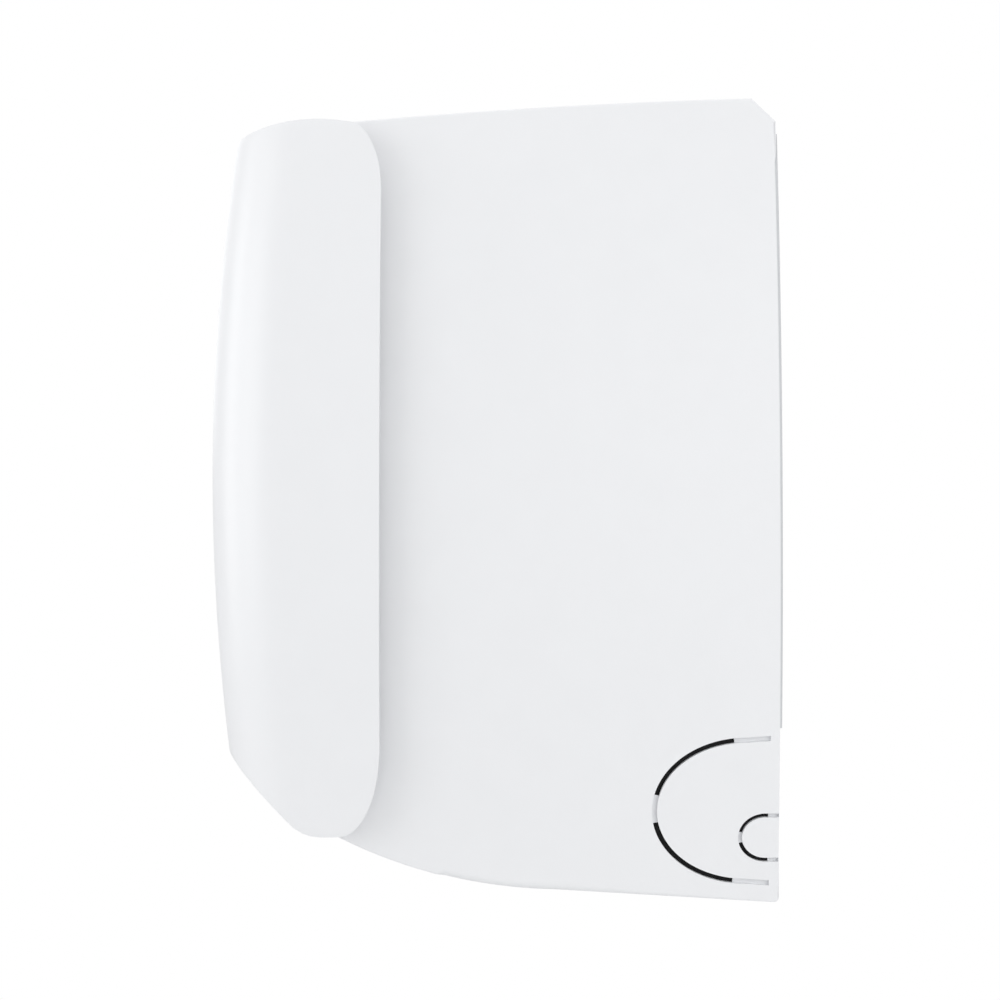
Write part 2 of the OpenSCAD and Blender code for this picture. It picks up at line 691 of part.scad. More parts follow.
module louvre_link(s) {
    xs = concat(blade_x[s], [crank_x[s]]);
    color("#dfe1e3") difference() {
        in_duct(max(xs) + 4) translate([-link_arm - 3, 0, link_z]) cube([6, max(xs) - min(xs) + 8, link_t]);
        for (x = xs)
            in_duct(x) translate([-link_arm, 0, link_z - 1])
                cylinder(r = link_pin_r + run_gap, h = link_t + 2);
    }
}

module louvre_crank(s) {
    color("#f4f4f0") in_duct(crank_x[s]) {
        translate([0, 0, link_z - 4]) cylinder(r = 4, h = 3.3);
        translate([-link_arm, -3, link_z - 4]) cube([link_arm, 6, 3.3]);
        translate([-link_arm, 0, link_z - 2]) cylinder(r = link_pin_r, h = link_t + 3.5);
        translate([0, 0, 2]) cylinder(r = 2, h = link_z - 5);
    }
}

module louvre_motors() {
    ear = [duct_l - bulkhead_t - crank_x[0], crank_x[1] - duct_r - bulkhead_t];
    color("silver") for (s = [0, 1]) in_duct(crank_x[s]) difference() {
        union() {
            translate([-8, 0, -12]) cylinder(r = 12, h = link_z + 7.5);
            box([-12, s == 0 ? -ear[0] : 0, link_z - 5.7], [-4, s == 0 ? 0 : ear[1], link_z - 4.5]);
        }
        translate([0, 0, 1]) cylinder(r = 2.3, h = link_z);
    }
}

// ---- Fan ----

fan_x = [duct_l + 15, duct_r - 12];
motor_x = [duct_r + bulkhead_t + 6, duct_r + bulkhead_t + 6 + motor_l];

function fan_point(r, a) = fan_c + r * [cos(a), sin(a)];

module fan_wheel() {
    root = fan_r - 11;
    waist = fan_r - 5;
    disc_t = 1.6;
    step = (fan_x[1] - fan_x[0] - disc_t) / (fan_discs - 1);
    color("#4b4f54") {
        for (i = [0:fan_blades - 1]) let (a = 360 * i / fan_blades)
            slab(fan_x[0], fan_x[1], [fan_point(root, a), fan_point(waist, a - 5), fan_point(fan_r - 0.4, a - 13),
                fan_point(fan_r - 0.4, a - 11), fan_point(waist, a - 2.8), fan_point(root, a + 2.2)]);
        for (i = [0:fan_discs - 1])
            difference() {
                rod_x(fan_x[0] + i * step, fan_x[0] + i * step + disc_t, fan_c, fan_r);
                if (i > 0 && i < fan_discs - 1)
                    rod_x(fan_x[0] + i * step - 1, fan_x[0] + i * step + disc_t + 1, fan_c, root - 3);
                rod_x(fan_x[0] - 1, fan_x[1] + 1, fan_c, shaft_r);
            }
        difference() {
            rod_x(fan_x[1] - 20, fan_x[1] - disc_t / 2, fan_c, 12);
            rod_x(fan_x[1] - 25, fan_x[1] + 1, fan_c, shaft_r);
        }
        difference() {
            rod_x(fan_x[0] + disc_t / 2, fan_x[0] + 12, fan_c, 12);
            rod_x(fan_x[0] - 1, fan_x[0] + 15, fan_c, shaft_r);
        }
    }
}

module fan_shaft() {
    color("silver") {
        rod_x(duct_l - 14, fan_x[0] + 12, fan_c, shaft_r);
        rod_x(fan_x[1] - 20, motor_x[1] - 8, fan_c, shaft_r);
    }
}

module shaft_bearing() {
    color("#9a9da0") difference() {
        rod_x(duct_l - 12, duct_l - 4, fan_c, 9);
        rod_x(duct_l - 20, duct_l, fan_c, shaft_r + run_gap / 2);
    }
}

module bearing_seat() {
    color("#2b2d30") difference() {
        rod_x(duct_l - 14, duct_l, fan_c, seat_r);
        rod_x(duct_l - 12, duct_l - 4, fan_c, 9);
        rod_x(duct_l - 20, duct_l + 5, fan_c, shaft_r + 1.5);
    }
}

module fan_motor() {
    color("#c9ccd0") difference() {
        union() {
            rod_x(motor_x[0], motor_x[1], fan_c, motor_r);
            rod_x(motor_x[0] - 5, motor_x[1] + 6, fan_c, 20);
        }
        rod_x(motor_x[0] - 10, motor_x[1] - 6, fan_c, shaft_r + run_gap);
    }
}

module motor_dampers() {
    color("#2b2d30") for (e = [[motor_x[0] - 6, motor_x[0] - 1], [motor_x[1] + 1, motor_x[1] + 6]])
        difference() {
            rod_x(e[0], e[1], fan_c, damper_r);
            rod_x(e[0] - 1, e[1] + 1, fan_c, 20);
        }
}

module motor_clamp() {
    x = [duct_r + bulkhead_t, motor_x[1] + 6];
    rim = motor_r + 3;
    color("#d9dbdd") difference() {
        slab(x[0], x[1], [fan_c + [-38, 0], fan_c + [44, 0], fan_c + [44, 34], fan_c + [28, rim + 5],
            fan_c + [-24, rim + 5], fan_c + [-38, 30]]);
        rod_x(x[0] + 5, x[1] - 5, fan_c, rim);
        rod_x(x[0] - 1, x[1] + 1, fan_c, damper_r);
        box([x[0] + 5, fan_c[0] - 60, fan_c[1] - 1], [x[1] - 5, fan_c[0] + 60, fan_c[1] + 30]);
    }
}

// ---- Heat exchanger ----

// Tube centres of a pack: two staggered rows of n along dir, centred on c
function tubes(c, dir, n) = let (across = [-dir[1], dir[0]])
    [for (row = [-1, 1]) for (i = [0:n - 1])
        c + across * row * row_gap / 2 + dir * ((i - (n - 1) / 2) * tube_pitch + row * tube_pitch / 4)];
front_mid = [low_y, (coil_low_z + bend_at) / 2 - 1];
front_n = 3;
upper_n = 3;
rear_n = 4;
front_tubes = tubes(front_mid, [0, 1], front_n);
upper_mid = up_c + up_dir * 20;
upper_tubes = tubes(upper_mid, up_dir, upper_n);
rear_mid = rear_c + rear_dir * 8;
rear_tubes = tubes(rear_mid, rear_dir, rear_n);
gas_joint = rear_tubes[0];
liquid_joint = rear_tubes[rear_n];

// Four corners of a pack
function pack(c, dir, l) = let (across = [-dir[1], dir[0]] * coil_t / 2)
    [c - dir * l / 2 - across, c + dir * l / 2 - across, c + dir * l / 2 + across, c - dir * l / 2 + across];
front_pack = let (h = coil_t / 2)
    [[low_y - h, coil_low_z], [low_y + h, coil_low_z], [low_y + h, bend_at + 1], [low_y - h, bend_at + 1]];
upper_pack = pack(upper_mid, up_dir, upper_n * tube_pitch + 10);
rear_pack = pack(rear_mid, rear_dir, rear_n * tube_pitch + 10);

module fin_plate(outline, holes, gap) {
    difference() {
        polygon(outline);
        for (h = holes) translate(h) circle(r = tube_r + gap);
    }
}

module fins(outline, holes) {
    color("#b9cfd8") for (x = [coil_l + 6 : fin_pitch : coil_r_end - 6])
        prism(x, x + fin_t) fin_plate(outline, holes, run_gap);
}

module coil_end_plates() {
    color("silver") for (x = [coil_l, coil_r_end - 1]) {
        prism(x, x + 1) fin_plate(front_pack, front_tubes, run_gap);
        prism(x, x + 1) fin_plate(upper_pack, upper_tubes, run_gap);
        prism(x, x + 1) fin_plate(rear_pack, rear_tubes, run_gap);
    }
}

// Half ring that joins tube a to tube b at the end x, bulging towards side s
module return_bend(x, a, b, s, r) {
    mid = (a + b) / 2;
    d = unit(b - a);
    multmatrix([[0, s, 0, x], [d[0], 0, s * d[1], mid[0]], [d[1], 0, -s * d[0], mid[1]], [0, 0, 0, 1]])
        rotate_extrude(angle = 180, $fn = 32) translate([norm(b - a) / 2, 0]) circle(r = r, $fn = 24);
}

// Pairs of tubes joined at the left and at the right end, which make one run through all packs
left_pairs = concat(
    [for (row = [0, 1]) for (i = [0:2:rear_n - 2]) [rear_tubes[row * rear_n + i], rear_tubes[row * rear_n + i + 1]]],
    [for (row = [0, 1]) [upper_tubes[row * upper_n + 1], upper_tubes[row * upper_n + 2]]],
    [for (row = [0, 1]) [upper_tubes[row * upper_n], front_tubes[row * front_n + front_n - 1]]],
    [for (row = [0, 1]) [front_tubes[row * front_n], front_tubes[row * front_n + 1]]]);
right_pairs = concat(
    [for (row = [0, 1]) for (i = [1:2:rear_n - 2]) [rear_tubes[row * rear_n + i], rear_tubes[row * rear_n + i + 1]]],
    [for (row = [0, 1]) [rear_tubes[row * rear_n + rear_n - 1], upper_tubes[(1 - row) * upper_n + upper_n - 1]]],
    [for (row = [0, 1]) [upper_tubes[row * upper_n], upper_tubes[row * upper_n + 1]]],
    [for (row = [0, 1]) [front_tubes[row * front_n + 1], front_tubes[row * front_n + 2]]],
    [[front_tubes[0], front_tubes[front_n]]]);
tube_ends = [coil_l - 4, coil_r_end + 3];

module tube_run(r, bend_r) {
    for (p = concat(front_tubes, upper_tubes, rear_tubes)) rod_x(tube_ends[0], tube_ends[1], p, r);
    for (p = left_pairs) return_bend(tube_ends[0], p[0], p[1], -1, bend_r);
    for (p = right_pairs) return_bend(tube_ends[1], p[0], p[1], 1, bend_r);
}

module coil_tubes() {
    socket_t = 0.6;
    socket_l = 2;
    color("#c87848") difference() {
        union() {
            tube_run(tube_r, tube_r);
            for (p = left_pairs) for (q = p)
                rod_x(tube_ends[0] - socket_l, tube_ends[0] + socket_l, q, tube_r + socket_t);
            for (p = right_pairs) for (q = p)
                rod_x(tube_ends[1] - socket_l, tube_ends[1] + socket_l, q, tube_r + socket_t);
        }
        tube_run(tube_r - 0.4, tube_r - 0.5);
    }
}

// ---- Pipes ----

// Round bar along square turns, each turned on an elbow of radius bend
module pipe_run(p, r, bend) {
    n = len(p) - 1;
    for (i = [0:n - 1]) {
        d = unit(p[i + 1] - p[i]);
        rod(p[i] + (i > 0 ? d * bend : d * 0), p[i + 1] - (i < n - 1 ? d * bend : d * 0), r);
    }
    for (i = [1:1:n - 1]) {
        u = unit(p[i] - p[i - 1]);
        v = unit(p[i + 1] - p[i]);
        w = cross(u, v);
        c = p[i] - u * bend + v * bend;
        multmatrix([[-v[0], u[0], w[0], c[0]], [-v[1], u[1], w[1], c[1]], [-v[2], u[2], w[2], c[2]],
                    [0, 0, 0, 1]])
            rotate_extrude(angle = 90) translate([bend, 0]) circle(r = r);
    }
}

foam_x = [pipe_end_x + 30, riser_x - 40];
liquid_riser_x = riser_x + 14;

// Out of the coil, down behind the fan motor, and back along the channel at height z
function pipe_route(joint, z, x) = [[coil_r_end + 3, joint[0], joint[1]], [x, joint[0], joint[1]],
    [x, joint[0], z], [pipe_end_x, joint[0], z]];

module gas_pipe() { color("#c87848") hollow_run(pipe_route(gas_joint, gas_z, riser_x), gas_r); }
module liquid_pipe() {
    color("#c87848") hollow_run(pipe_route(liquid_joint, liquid_z, liquid_riser_x), liquid_r);
}

module hollow_run(p, r) {
    difference() {
        pipe_run(p, r, elbow_r);
        pipe_run(p, r - pipe_wall, elbow_r);
    }
}

gas_c = [gas_joint[0], gas_z];
liquid_c = [liquid_joint[0], liquid_z];

module pipe_foam() {
    color("#f5f5f2") {
        difference() {
            rod_x(foam_x[0], foam_x[1], gas_c, gas_r + foam_t);
            rod_x(foam_x[0] - 1, foam_x[1] + 1, gas_c, gas_r + run_gap);
        }
        difference() {
            rod_x(foam_x[0], foam_x[1], liquid_c, liquid_r + foam_t);
            rod_x(foam_x[0] - 1, foam_x[1] + 1, liquid_c, liquid_r + run_gap);
        }
    }
}

// Nuts turned on the ends of the pipes, open towards the connecting pipes
nut_l = 20;
gas_thread_r = 7.94;
liquid_thread_r = 5.56;

module flare_nut(c, pipe_r, thread_r) {
    difference() {
        translate([pipe_end_x - nut_l / 2, c[0], c[1]]) rotate([0, 90, 0])
            cylinder(r = thread_r + 4, h = nut_l, $fn = 6);
        rod_x(pipe_end_x - nut_l, pipe_end_x + nut_l, c, pipe_r + run_gap);
        rod_x(pipe_end_x - nut_l, pipe_end_x - 0.5, c, thread_r);
    }
}
module flare_nuts() {
    color("#c9a24a") {
        flare_nut(gas_c, gas_r, gas_thread_r);
        flare_nut(liquid_c, liquid_r, liquid_thread_r);
    }
}

// Saddles that carry the foam-clad pipes and the hose under the channel's roof
module pipe_clamp() {
    inset = [20, 60];
    color("#d9dbdd") for (x = [foam_x[0] + inset[0], foam_x[1] - inset[1]])
        prism(x, x + 5) difference() {
            polygon([[liquid_c[0] - 14, 6], [-6, 6], [-6, channel_z], [liquid_c[0] - 14, channel_z]]);
            translate(gas_c) circle(r = gas_r + foam_t + run_gap);
            translate(liquid_c) circle(r = liquid_r + foam_t + run_gap);
            translate(hose_at) circle(r = hose_r + 1.2);
        }
}

// ---- Drain ----

spigot_r = 5;
spigot_at = duct_front + [9.5, 9.5];
pan_top = coil_low_z + 4;
pan_path = [[duct_front[0], pan_top], duct_front, tongue, [tongue[0] + 1, coil_low_z + 2]];

module drain_pan() {
    floor_path = strip(pan_path, pan_t);
    color("#e6e8ea") difference() {
        union() {
            slab(duct_l, duct_r, floor_path);
            for (x = [duct_l, duct_r - 2]) slab(x, x + 2, pan_path);
            rod_x(duct_r - 1, duct_r + bulkhead_t + 14, spigot_at, spigot_r);
            rod_x(duct_l - bulkhead_t - 14, duct_l + 1, spigot_at, spigot_r);
        }
        rod_x(duct_l - 40, duct_r + 40, spigot_at, spigot_r - 1.5);
        for (x = concat(blade_x[0], blade_x[1]))
            in_duct(x) translate([0, 0, -pan_t - 2]) cylinder(r = blade_pin_r + run_gap, h = pan_t + 4);
    }
}

module drain_plug() {
    x = duct_l - bulkhead_t;
    color("#2b2d30") difference() {
        rod_x(x - 17, x - 1, spigot_at, spigot_r + 2);
        rod_x(x - 15, x + 1, spigot_at, spigot_r);
    }
}

module drain_hose() {
    x0 = duct_r + bulkhead_t + 2;
    x1 = case_half - 16;
    end = pipe_end_x - 50;
    rib = 6;
    first = x1 - elbow_r - 14;
    ribs = floor((first - end - 10) / rib);
    path = [[x0, spigot_at[0], spigot_at[1]], [x1, spigot_at[0], spigot_at[1]],
        [x1, hose_at[0], spigot_at[1]], [x1, hose_at[0], hose_at[1]], [end, hose_at[0], hose_at[1]]];
    color("#c9cbcd") difference() {
        union() {
            pipe_run(path, hose_r - 1.5, elbow_r);
            translate([first, hose_at[0], hose_at[1]]) rotate([0, -90, 0])
                rotate_extrude() polygon(concat([[hose_r - 3, 0]],
                    [for (i = [0:2 * ribs]) [i % 2 == 0 ? hose_r - 1.2 : hose_r, i * rib / 2]],
                    [[hose_r - 3, ribs * rib]]));
        }
        pipe_run(path, spigot_r, elbow_r);
    }
}

// ---- Controls ----

module control_box() {
    color("#5a5e63") difference() {
        box([box_x[0], box_y[0], box_z[0]], [box_x[1], box_y[1], box_z[1]]);
        box([box_x[0] + box_t, box_y[0] - 1, box_z[0] + box_t],
            [box_x[1] - box_t, box_y[1] - box_t, box_z[1] - box_t]);
    }
}
module control_box_cover() {
    color("#6a6e73") {
        box([box_x[0] + 1, box_y[0] - 1.6, box_z[0]], [box_x[1], box_y[0], box_z[1]]);
        difference() {
            box([box_x[0] + box_t + clip_gap, box_y[0], box_z[0] + box_t + clip_gap],
                [box_x[1] - box_t - clip_gap, box_y[0] + 4, box_z[1] - box_t - clip_gap]);
            box([box_x[0] + box_t + 2, box_y[0] - 1, box_z[0] + box_t + 2],
                [box_x[1] - box_t - 2, box_y[0] + 5, box_z[1] - box_t - 2]);
        }
    }
}
board_y = box_y[1] - box_t - 8;
part_h = (board_y - box_y[0]) * 0.6;

module main_board() {
    z = [box_z[0] + 34, box_z[1] - 8];
    x = [box_x[0] + 8, box_x[1] - 8];
    color("#2f6b45") box([x[0], board_y - 1.6, z[0]], [x[1], board_y, z[1]]);
    color("#222428") {
        for (cx = [x[0] + 5, x[1] - 5]) for (cz = [z[0] + 5, z[1] - 5])
            rod([cx, board_y - 0.5, cz], [cx, box_y[1] - box_t, cz], 2.5);
        for (i = [0:2])
            rod([x[0] + 14 + 15 * i, board_y - part_h, z[0] + 16], [x[0] + 14 + 15 * i, board_y - 1, z[0] + 16], 6);
        box([x[0] + 8, board_y - part_h * 0.8, z[1] - 32], [x[0] + 36, board_y - 1, z[1] - 8]);
        for (i = [0:2])
            box([x[1] - 26, board_y - part_h * 0.7, z[0] + 10 + 22 * i], [x[1] - 10, board_y - 1, z[0] + 28 + 22 * i]);
    }
}

module terminal_block() {
    z = box_z[0] + box_t + 5;
    y = box_y[1] - box_t;
    n = 4;
    x0 = box_x[0] + 12;
    step = (box_x[1] - box_x[0] - 41) / n;
    color("#1f2226") difference() {
        box([x0, y - 15, z], [x0 + n * step + 2, y, z + 20]);
        for (i = [0:n - 1]) box([x0 + 3 + step * i, y - 16, z - 1], [x0 + step * (i + 1) - 1, y - 9, z + 8]);
    }
    color("#c9a24a") for (i = [0:n - 1])
        rod([x0 + step * (i + 0.5) + 1, y - 17, z + 14], [x0 + step * (i + 0.5) + 1, y - 14.5, z + 14], 3.2);
}

module air_sensor() {
    c = [low_y - coil_t / 2 - 2.6, coil_low_z + 12];
    color("#222428") rod_x(coil_r_end - 18, coil_r_end - 1, c, 2.5);
    color("#e4e6e8") box([coil_r_end, c[0] - 3, c[1] - 4], [coil_r_end + 1.5, c[0] + 12, c[1] + 4]);
    color("#e4e6e8") box([coil_r_end - 1, c[0] - 3, c[1] - 4], [coil_r_end, c[0] + 2.4, c[1] + 4]);
}
module pipe_sensor() {
    color("#c87848") rod_x(duct_r + 26, duct_r + 50, liquid_joint + [0, liquid_r + 2.4], 2.4);
}

// ---- Filters, which follow the front and the top of the heat exchanger ----

filter_t = 1.6;
filter_r = 85;
filter_c = [case_front + 6 + filter_r, unit_h - 25 - filter_r];
filter_steps = 5;
filter_path = concat([for (i = [0:filter_steps]) [case_front + 6, pan_top + 1 + (filter_c[1] - pan_top - 1) * i / filter_steps]],
    [for (a = [170:-10:100]) filter_c + filter_r * [cos(a), sin(a)]]);
filter_gap = 3;

module filter(x0, x1) {
    n = len(filter_path) - 1;
    color("#c8ccd0") {
        slab(x0, x1, strip(filter_path, 0.4));
        for (i = [0:4]) slab(x0 + (x1 - x0 - 3) * i / 4, x0 + (x1 - x0 - 3) * i / 4 + 3, strip(filter_path, filter_t));
        for (i = [0:2:n - 1]) let (p = filter_path[i], d = unit(filter_path[i + 1] - p))
            slab(x0, x1, strip([p, p + d * 2.5], filter_t));
        slab(x0, x1, strip([filter_path[n] - unit(filter_path[n] - filter_path[n - 1]) * 2.5, filter_path[n]], filter_t));
    }
}
filter_mid = (duct_l + duct_r) / 2;
module filter_left() { filter(duct_l + 10, filter_mid - filter_gap); }
module filter_right() { filter(filter_mid + filter_gap, duct_r - 10); }

module deodorising_filters() {
    y = case_front + 6.4;
    half = (filter_mid - duct_l) * 0.2;
    z = [pan_top + 14, pan_top + 14 + (filter_c[1] - pan_top) * 0.53];
    rim = 3;
    cells = 14;
    cell = (2 * half - rim) / cells;
    color("#3f4a52") for (c = [(duct_l + filter_mid) / 2, (filter_mid + duct_r) / 2]) difference() {
        box([c - half, y, z[0]], [c + half, y + 4, z[1]]);
        for (i = [0:cells - 1])
            box([c - half + rim + i * cell, y - 1, z[0] + rim], [c - half + (i + 1) * cell, y + 5, z[1] - rim]);
    }
}

// ---- Mounting plate ----

module mounting_plate() {
    z = [plate_c - plate_h / 2, plate_c + plate_h / 2];
    color("#aeb3b7") {
        difference() {
            box([-plate_w / 2, -plate_t, z[0]], [plate_w / 2, 0, z[1]]);
            for (x = [-1, 1]) for (s = [-1, 1])
                rod([x * bolt_x / 2, -5, plate_c + s * bolt_z / 2], [x * bolt_x / 2, 5, plate_c + s * bolt_z / 2], bolt_r);
            for (x = [-3:3]) rod([x * 60, -5, z[1] - 8], [x * 60, 5, z[1] - 8], bolt_r);
            for (x = [-1, 1]) box([x * 110 - 70, -5, plate_c - 45], [x * 110 + 70, 5, plate_c + 45]);
            for (x = [-1, 1]) box([x * 238 - 30, -5, plate_c - 40], [x * 238 + 30, 5, plate_c + 40]);
        }
        for (x = [-hook_x, hook_x]) {
            box([x - 12, back_y - 3, hook_z], [x + 12, -plate_t, hook_z + plate_t]);
            box([x - 12, back_y - 3, hook_z], [x + 12, back_y - 3 + plate_t, hook_z + 9]);
            box([x - 10, -plate_t, z[0] - 12], [x + 10, 0, z[0]]);
        }
    }
}

place() mounting_plate();
place() rear_chassis();
place() front_casing();
place() intake_grille();
place() casing_screws();
place() fins(front_pack, front_tubes);  // fins_front
place() fins(upper_pack, upper_tubes);  // fins_upper
place() fins(rear_pack, rear_tubes);  // fins_rear
place() coil_tubes();
place() coil_end_plates();
place() gas_pipe();
place() liquid_pipe();
place() pipe_foam();
place() flare_nuts();
place() pipe_clamp();
place() drain_pan();
place() drain_hose();
place() drain_plug();
place() fan_motor();
place() motor_dampers();
place() motor_clamp();
place() shaft_bearing();
place() bearing_seat();
place() control_box();
place() control_box_cover();
place() main_board();
place() terminal_block();
place() display_board();
place() display_lens();
place() air_sensor();
place() pipe_sensor();
place() filter_left();
place() filter_right();
place() deodorising_filters();
place() flap_motor();
place() louvre_motors();
place() panel_bumpers();
place() front_panel();
place() panel_hinge_pins();
place() air_flap();
place() fan_wheel();
place() fan_shaft();
place() on_off_button();
for (s = [0, 1]) for (i = [0:set_blades - 1])
    place() louvre(blade_x[s][i]);
place() louvre_link(0);  // louvre_link_left
place() louvre_link(1);  // louvre_link_right
place() louvre_crank(0);  // louvre_crank_left
place() louvre_crank(1);  // louvre_crank_right
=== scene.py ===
"""Indoor unit of a wall-mounted split air conditioner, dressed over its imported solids.

Lengths are in millimetres, heights are measured up from the underside of the casing, and
pt() turns both into the frame's metres. X runs to the right seen from the front, and the
wall is the plane Y = 0.
"""
import itertools
import json
import math

import bmesh
import bpy
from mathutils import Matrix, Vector


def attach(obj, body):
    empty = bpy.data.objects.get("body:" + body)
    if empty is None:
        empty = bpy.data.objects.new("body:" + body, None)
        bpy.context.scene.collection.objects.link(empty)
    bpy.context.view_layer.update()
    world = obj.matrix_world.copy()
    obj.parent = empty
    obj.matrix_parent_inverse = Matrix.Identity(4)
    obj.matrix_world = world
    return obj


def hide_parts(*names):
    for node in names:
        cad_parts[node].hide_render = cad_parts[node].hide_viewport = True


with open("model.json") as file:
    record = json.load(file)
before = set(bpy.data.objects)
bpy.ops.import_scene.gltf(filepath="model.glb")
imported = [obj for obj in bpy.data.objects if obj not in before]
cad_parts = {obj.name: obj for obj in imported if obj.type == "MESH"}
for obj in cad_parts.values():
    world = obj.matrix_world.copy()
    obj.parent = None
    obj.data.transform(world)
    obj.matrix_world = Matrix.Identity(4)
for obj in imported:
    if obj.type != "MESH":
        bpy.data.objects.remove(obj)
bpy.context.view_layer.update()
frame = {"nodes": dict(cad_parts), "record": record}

MM = 0.001
PLATE_C = 175.0


def pt(x, y, z):
    return Vector((x * MM, y * MM, (z - PLATE_C) * MM))


# ---- Camera: level with the casing's middle, square to its right-hand end ----

CAMERA_AT = (1140.0, -105.6, 151.4)
LENS = 67.8


def make_camera():
    data = bpy.data.cameras.new("camera")
    data.lens = LENS
    data.sensor_width = 36.0
    data.clip_end = 50.0
    cam = bpy.data.objects.new("camera", data)
    bpy.context.scene.collection.objects.link(cam)
    cam.location = pt(*CAMERA_AT)
    cam.rotation_euler = (math.pi / 2, 0, math.pi / 2)
    bpy.context.scene.camera = cam


make_camera()

# ---- Plane geometry, as (depth, height) pairs ----


def arc3(a, b, c, n):
    d = 2 * (a[0] * (b[1] - c[1]) + b[0] * (c[1] - a[1]) + c[0] * (a[1] - b[1]))
    sq = [p[0] ** 2 + p[1] ** 2 for p in (a, b, c)]
    o = ((sq[0] * (b[1] - c[1]) + sq[1] * (c[1] - a[1]) + sq[2] * (a[1] - b[1])) / d,
         (sq[0] * (c[0] - b[0]) + sq[1] * (a[0] - c[0]) + sq[2] * (b[0] - a[0])) / d)
    r = math.dist(a, o)
    start = math.atan2(a[1] - o[1], a[0] - o[0])
    end = math.atan2(c[1] - o[1], c[0] - o[0])
    sweep = (end - start + 3 * math.pi) % (2 * math.pi) - math.pi
    return [(o[0] + r * math.cos(start + sweep * i / n), o[1] + r * math.sin(start + sweep * i / n))
            for i in range(n + 1)]


def left_normals(path, closed):
    """Mitre vector at each point of a path, such that the path moved by t times it is t to its left."""
    n = len(path)
    out = []
    for i in range(n):
        before = path[(i - 1) % n] if closed or i > 0 else path[0]
        after = path[(i + 1) % n] if closed or i < n - 1 else path[-1]
        here = path[i]
        normals = []
        for a, b in ((before, here), (here, after)):
            length = math.dist(a, b)
            if length > 1e-9:
                normals.append((-(b[1] - a[1]) / length, (b[0] - a[0]) / length))
        if len(normals) == 1:
            normals *= 2
        dot = normals[0][0] * normals[1][0] + normals[0][1] * normals[1][1]
        out.append(tuple((normals[0][k] + normals[1][k]) / (1 + dot) for k in (0, 1)))
    return out


def moved(path, t, closed=False):
    return [(p[0] + n[0] * t, p[1] + n[1] * t) for p, n in zip(path, left_normals(path, closed))]


# ---- Main sizes, as in the part's source ----

UNIT_W, UNIT_H, UNIT_D = 900.0, 305.0, 215.0
WALL = 2.5
CROWN_R, CROWN_Z = 900.0, 125.0
HALF_W = UNIT_W / 2
PANEL_T = 3.0
WING_IN = HALF_W - PANEL_T
CASE_HALF = WING_IN - 7.0
CASE_FRONT = -UNIT_D + 12
CASE_BACK = -0.6
REAR_CHAMFER = 9.0
CORNER_Y = -UNIT_D + 26
BOW_R, BOW_Z = 1000.0, 168.0


def bow(z):
    return -UNIT_D + BOW_R - math.sqrt(BOW_R ** 2 - (z - BOW_Z) ** 2)


def sag(z):
    return CROWN_R - math.sqrt(CROWN_R ** 2 - (z - CROWN_Z) ** 2)


def nose(y, corner=CORNER_Y):
    """How far the casing's front corner is cut back at depth y."""
    return max(0.0, corner - y)


CHIN_TOP = (CASE_FRONT, 60.0)
KNEE = (-UNIT_D + 49, 24.8)
CHIN_MID = ((CHIN_TOP[0] + KNEE[0]) / 2 - 2.5, (CHIN_TOP[1] + KNEE[1]) / 2 - 2.7)
BELLY_END = (KNEE[0] + 81, KNEE[1] - 20.3)
BELLY_MID = (KNEE[0] + 36, KNEE[1] - 13.9)
TOP_REAR = (CASE_BACK - REAR_CHAMFER, UNIT_H - 0.3)
TOP_FRONT = (-UNIT_D + 52, UNIT_H - 9.7)
TOP_MID = ((TOP_REAR[0] + TOP_FRONT[0]) / 2, (TOP_REAR[1] + TOP_FRONT[1]) / 2 + 1.3)
BROW_END = (CASE_FRONT, UNIT_H - 26)
BROW_MID = ((TOP_FRONT[0] + BROW_END[0]) / 2 - 9, (TOP_FRONT[1] + BROW_END[1]) / 2 + 0.1)

chin = arc3(CHIN_TOP, CHIN_MID, KNEE, 16)
belly = arc3(KNEE, BELLY_MID, BELLY_END, 30)
roof = arc3(TOP_REAR, TOP_MID, TOP_FRONT, 24)
brow = arc3(TOP_FRONT, BROW_MID, BROW_END, 16)


def heel(r, n=6):
    return [(CASE_BACK - r + r * math.cos(a), r + r * math.sin(a))
            for a in (math.radians(-90 + 90 * i / n) for i in range(n + 1))]


def case_outline(r):
    return chin + belly[1:] + heel(r) + [(CASE_BACK, UNIT_H - REAR_CHAMFER - 0.5)] + roof + brow[1:]


# ---- Mesh helpers ----


def smooth(mesh, degrees):
    """Shades the mesh smooth, apart from edges sharper than the angle."""
    for p in mesh.polygons:
        p.use_smooth = True
    mesh.set_sharp_from_angle(angle=math.radians(degrees))


def new_object(name, bm):
    mesh = bpy.data.meshes.new(name)
    bm.to_mesh(mesh)
    bm.free()
    obj = bpy.data.objects.new(name, mesh)
    bpy.context.scene.collection.objects.link(obj)
    return obj


def apply_modifiers(obj):
    """Turns the object's modifiers into its mesh."""
    bpy.context.view_layer.update()
    graph = bpy.context.evaluated_depsgraph_get()
    mesh = bpy.data.meshes.new_from_object(obj.evaluated_get(graph))
    obj.modifiers.clear()
    old = obj.data
    obj.data = mesh
    bpy.data.meshes.remove(old)


def prism(bm, outline, x0, x1):
    """Adds a (depth, height) outline, drawn anticlockwise, extruded from x0 to x1."""
    a = [bm.verts.new(pt(x0, *p)) for p in outline]
    b = [bm.verts.new(pt(x1, *p)) for p in outline]
    n = len(outline)
    bm.faces.new(list(reversed(a)))
    bm.faces.new(b)
    for i in range(n):
        j = (i + 1) % n
        bm.faces.new((a[i], a[j], b[j], b[i]))


def block(bm, lo, hi):
    prism(bm, [(lo[1], lo[2]), (hi[1], lo[2]), (hi[1], hi[2]), (lo[1], hi[2])], lo[0], hi[0])


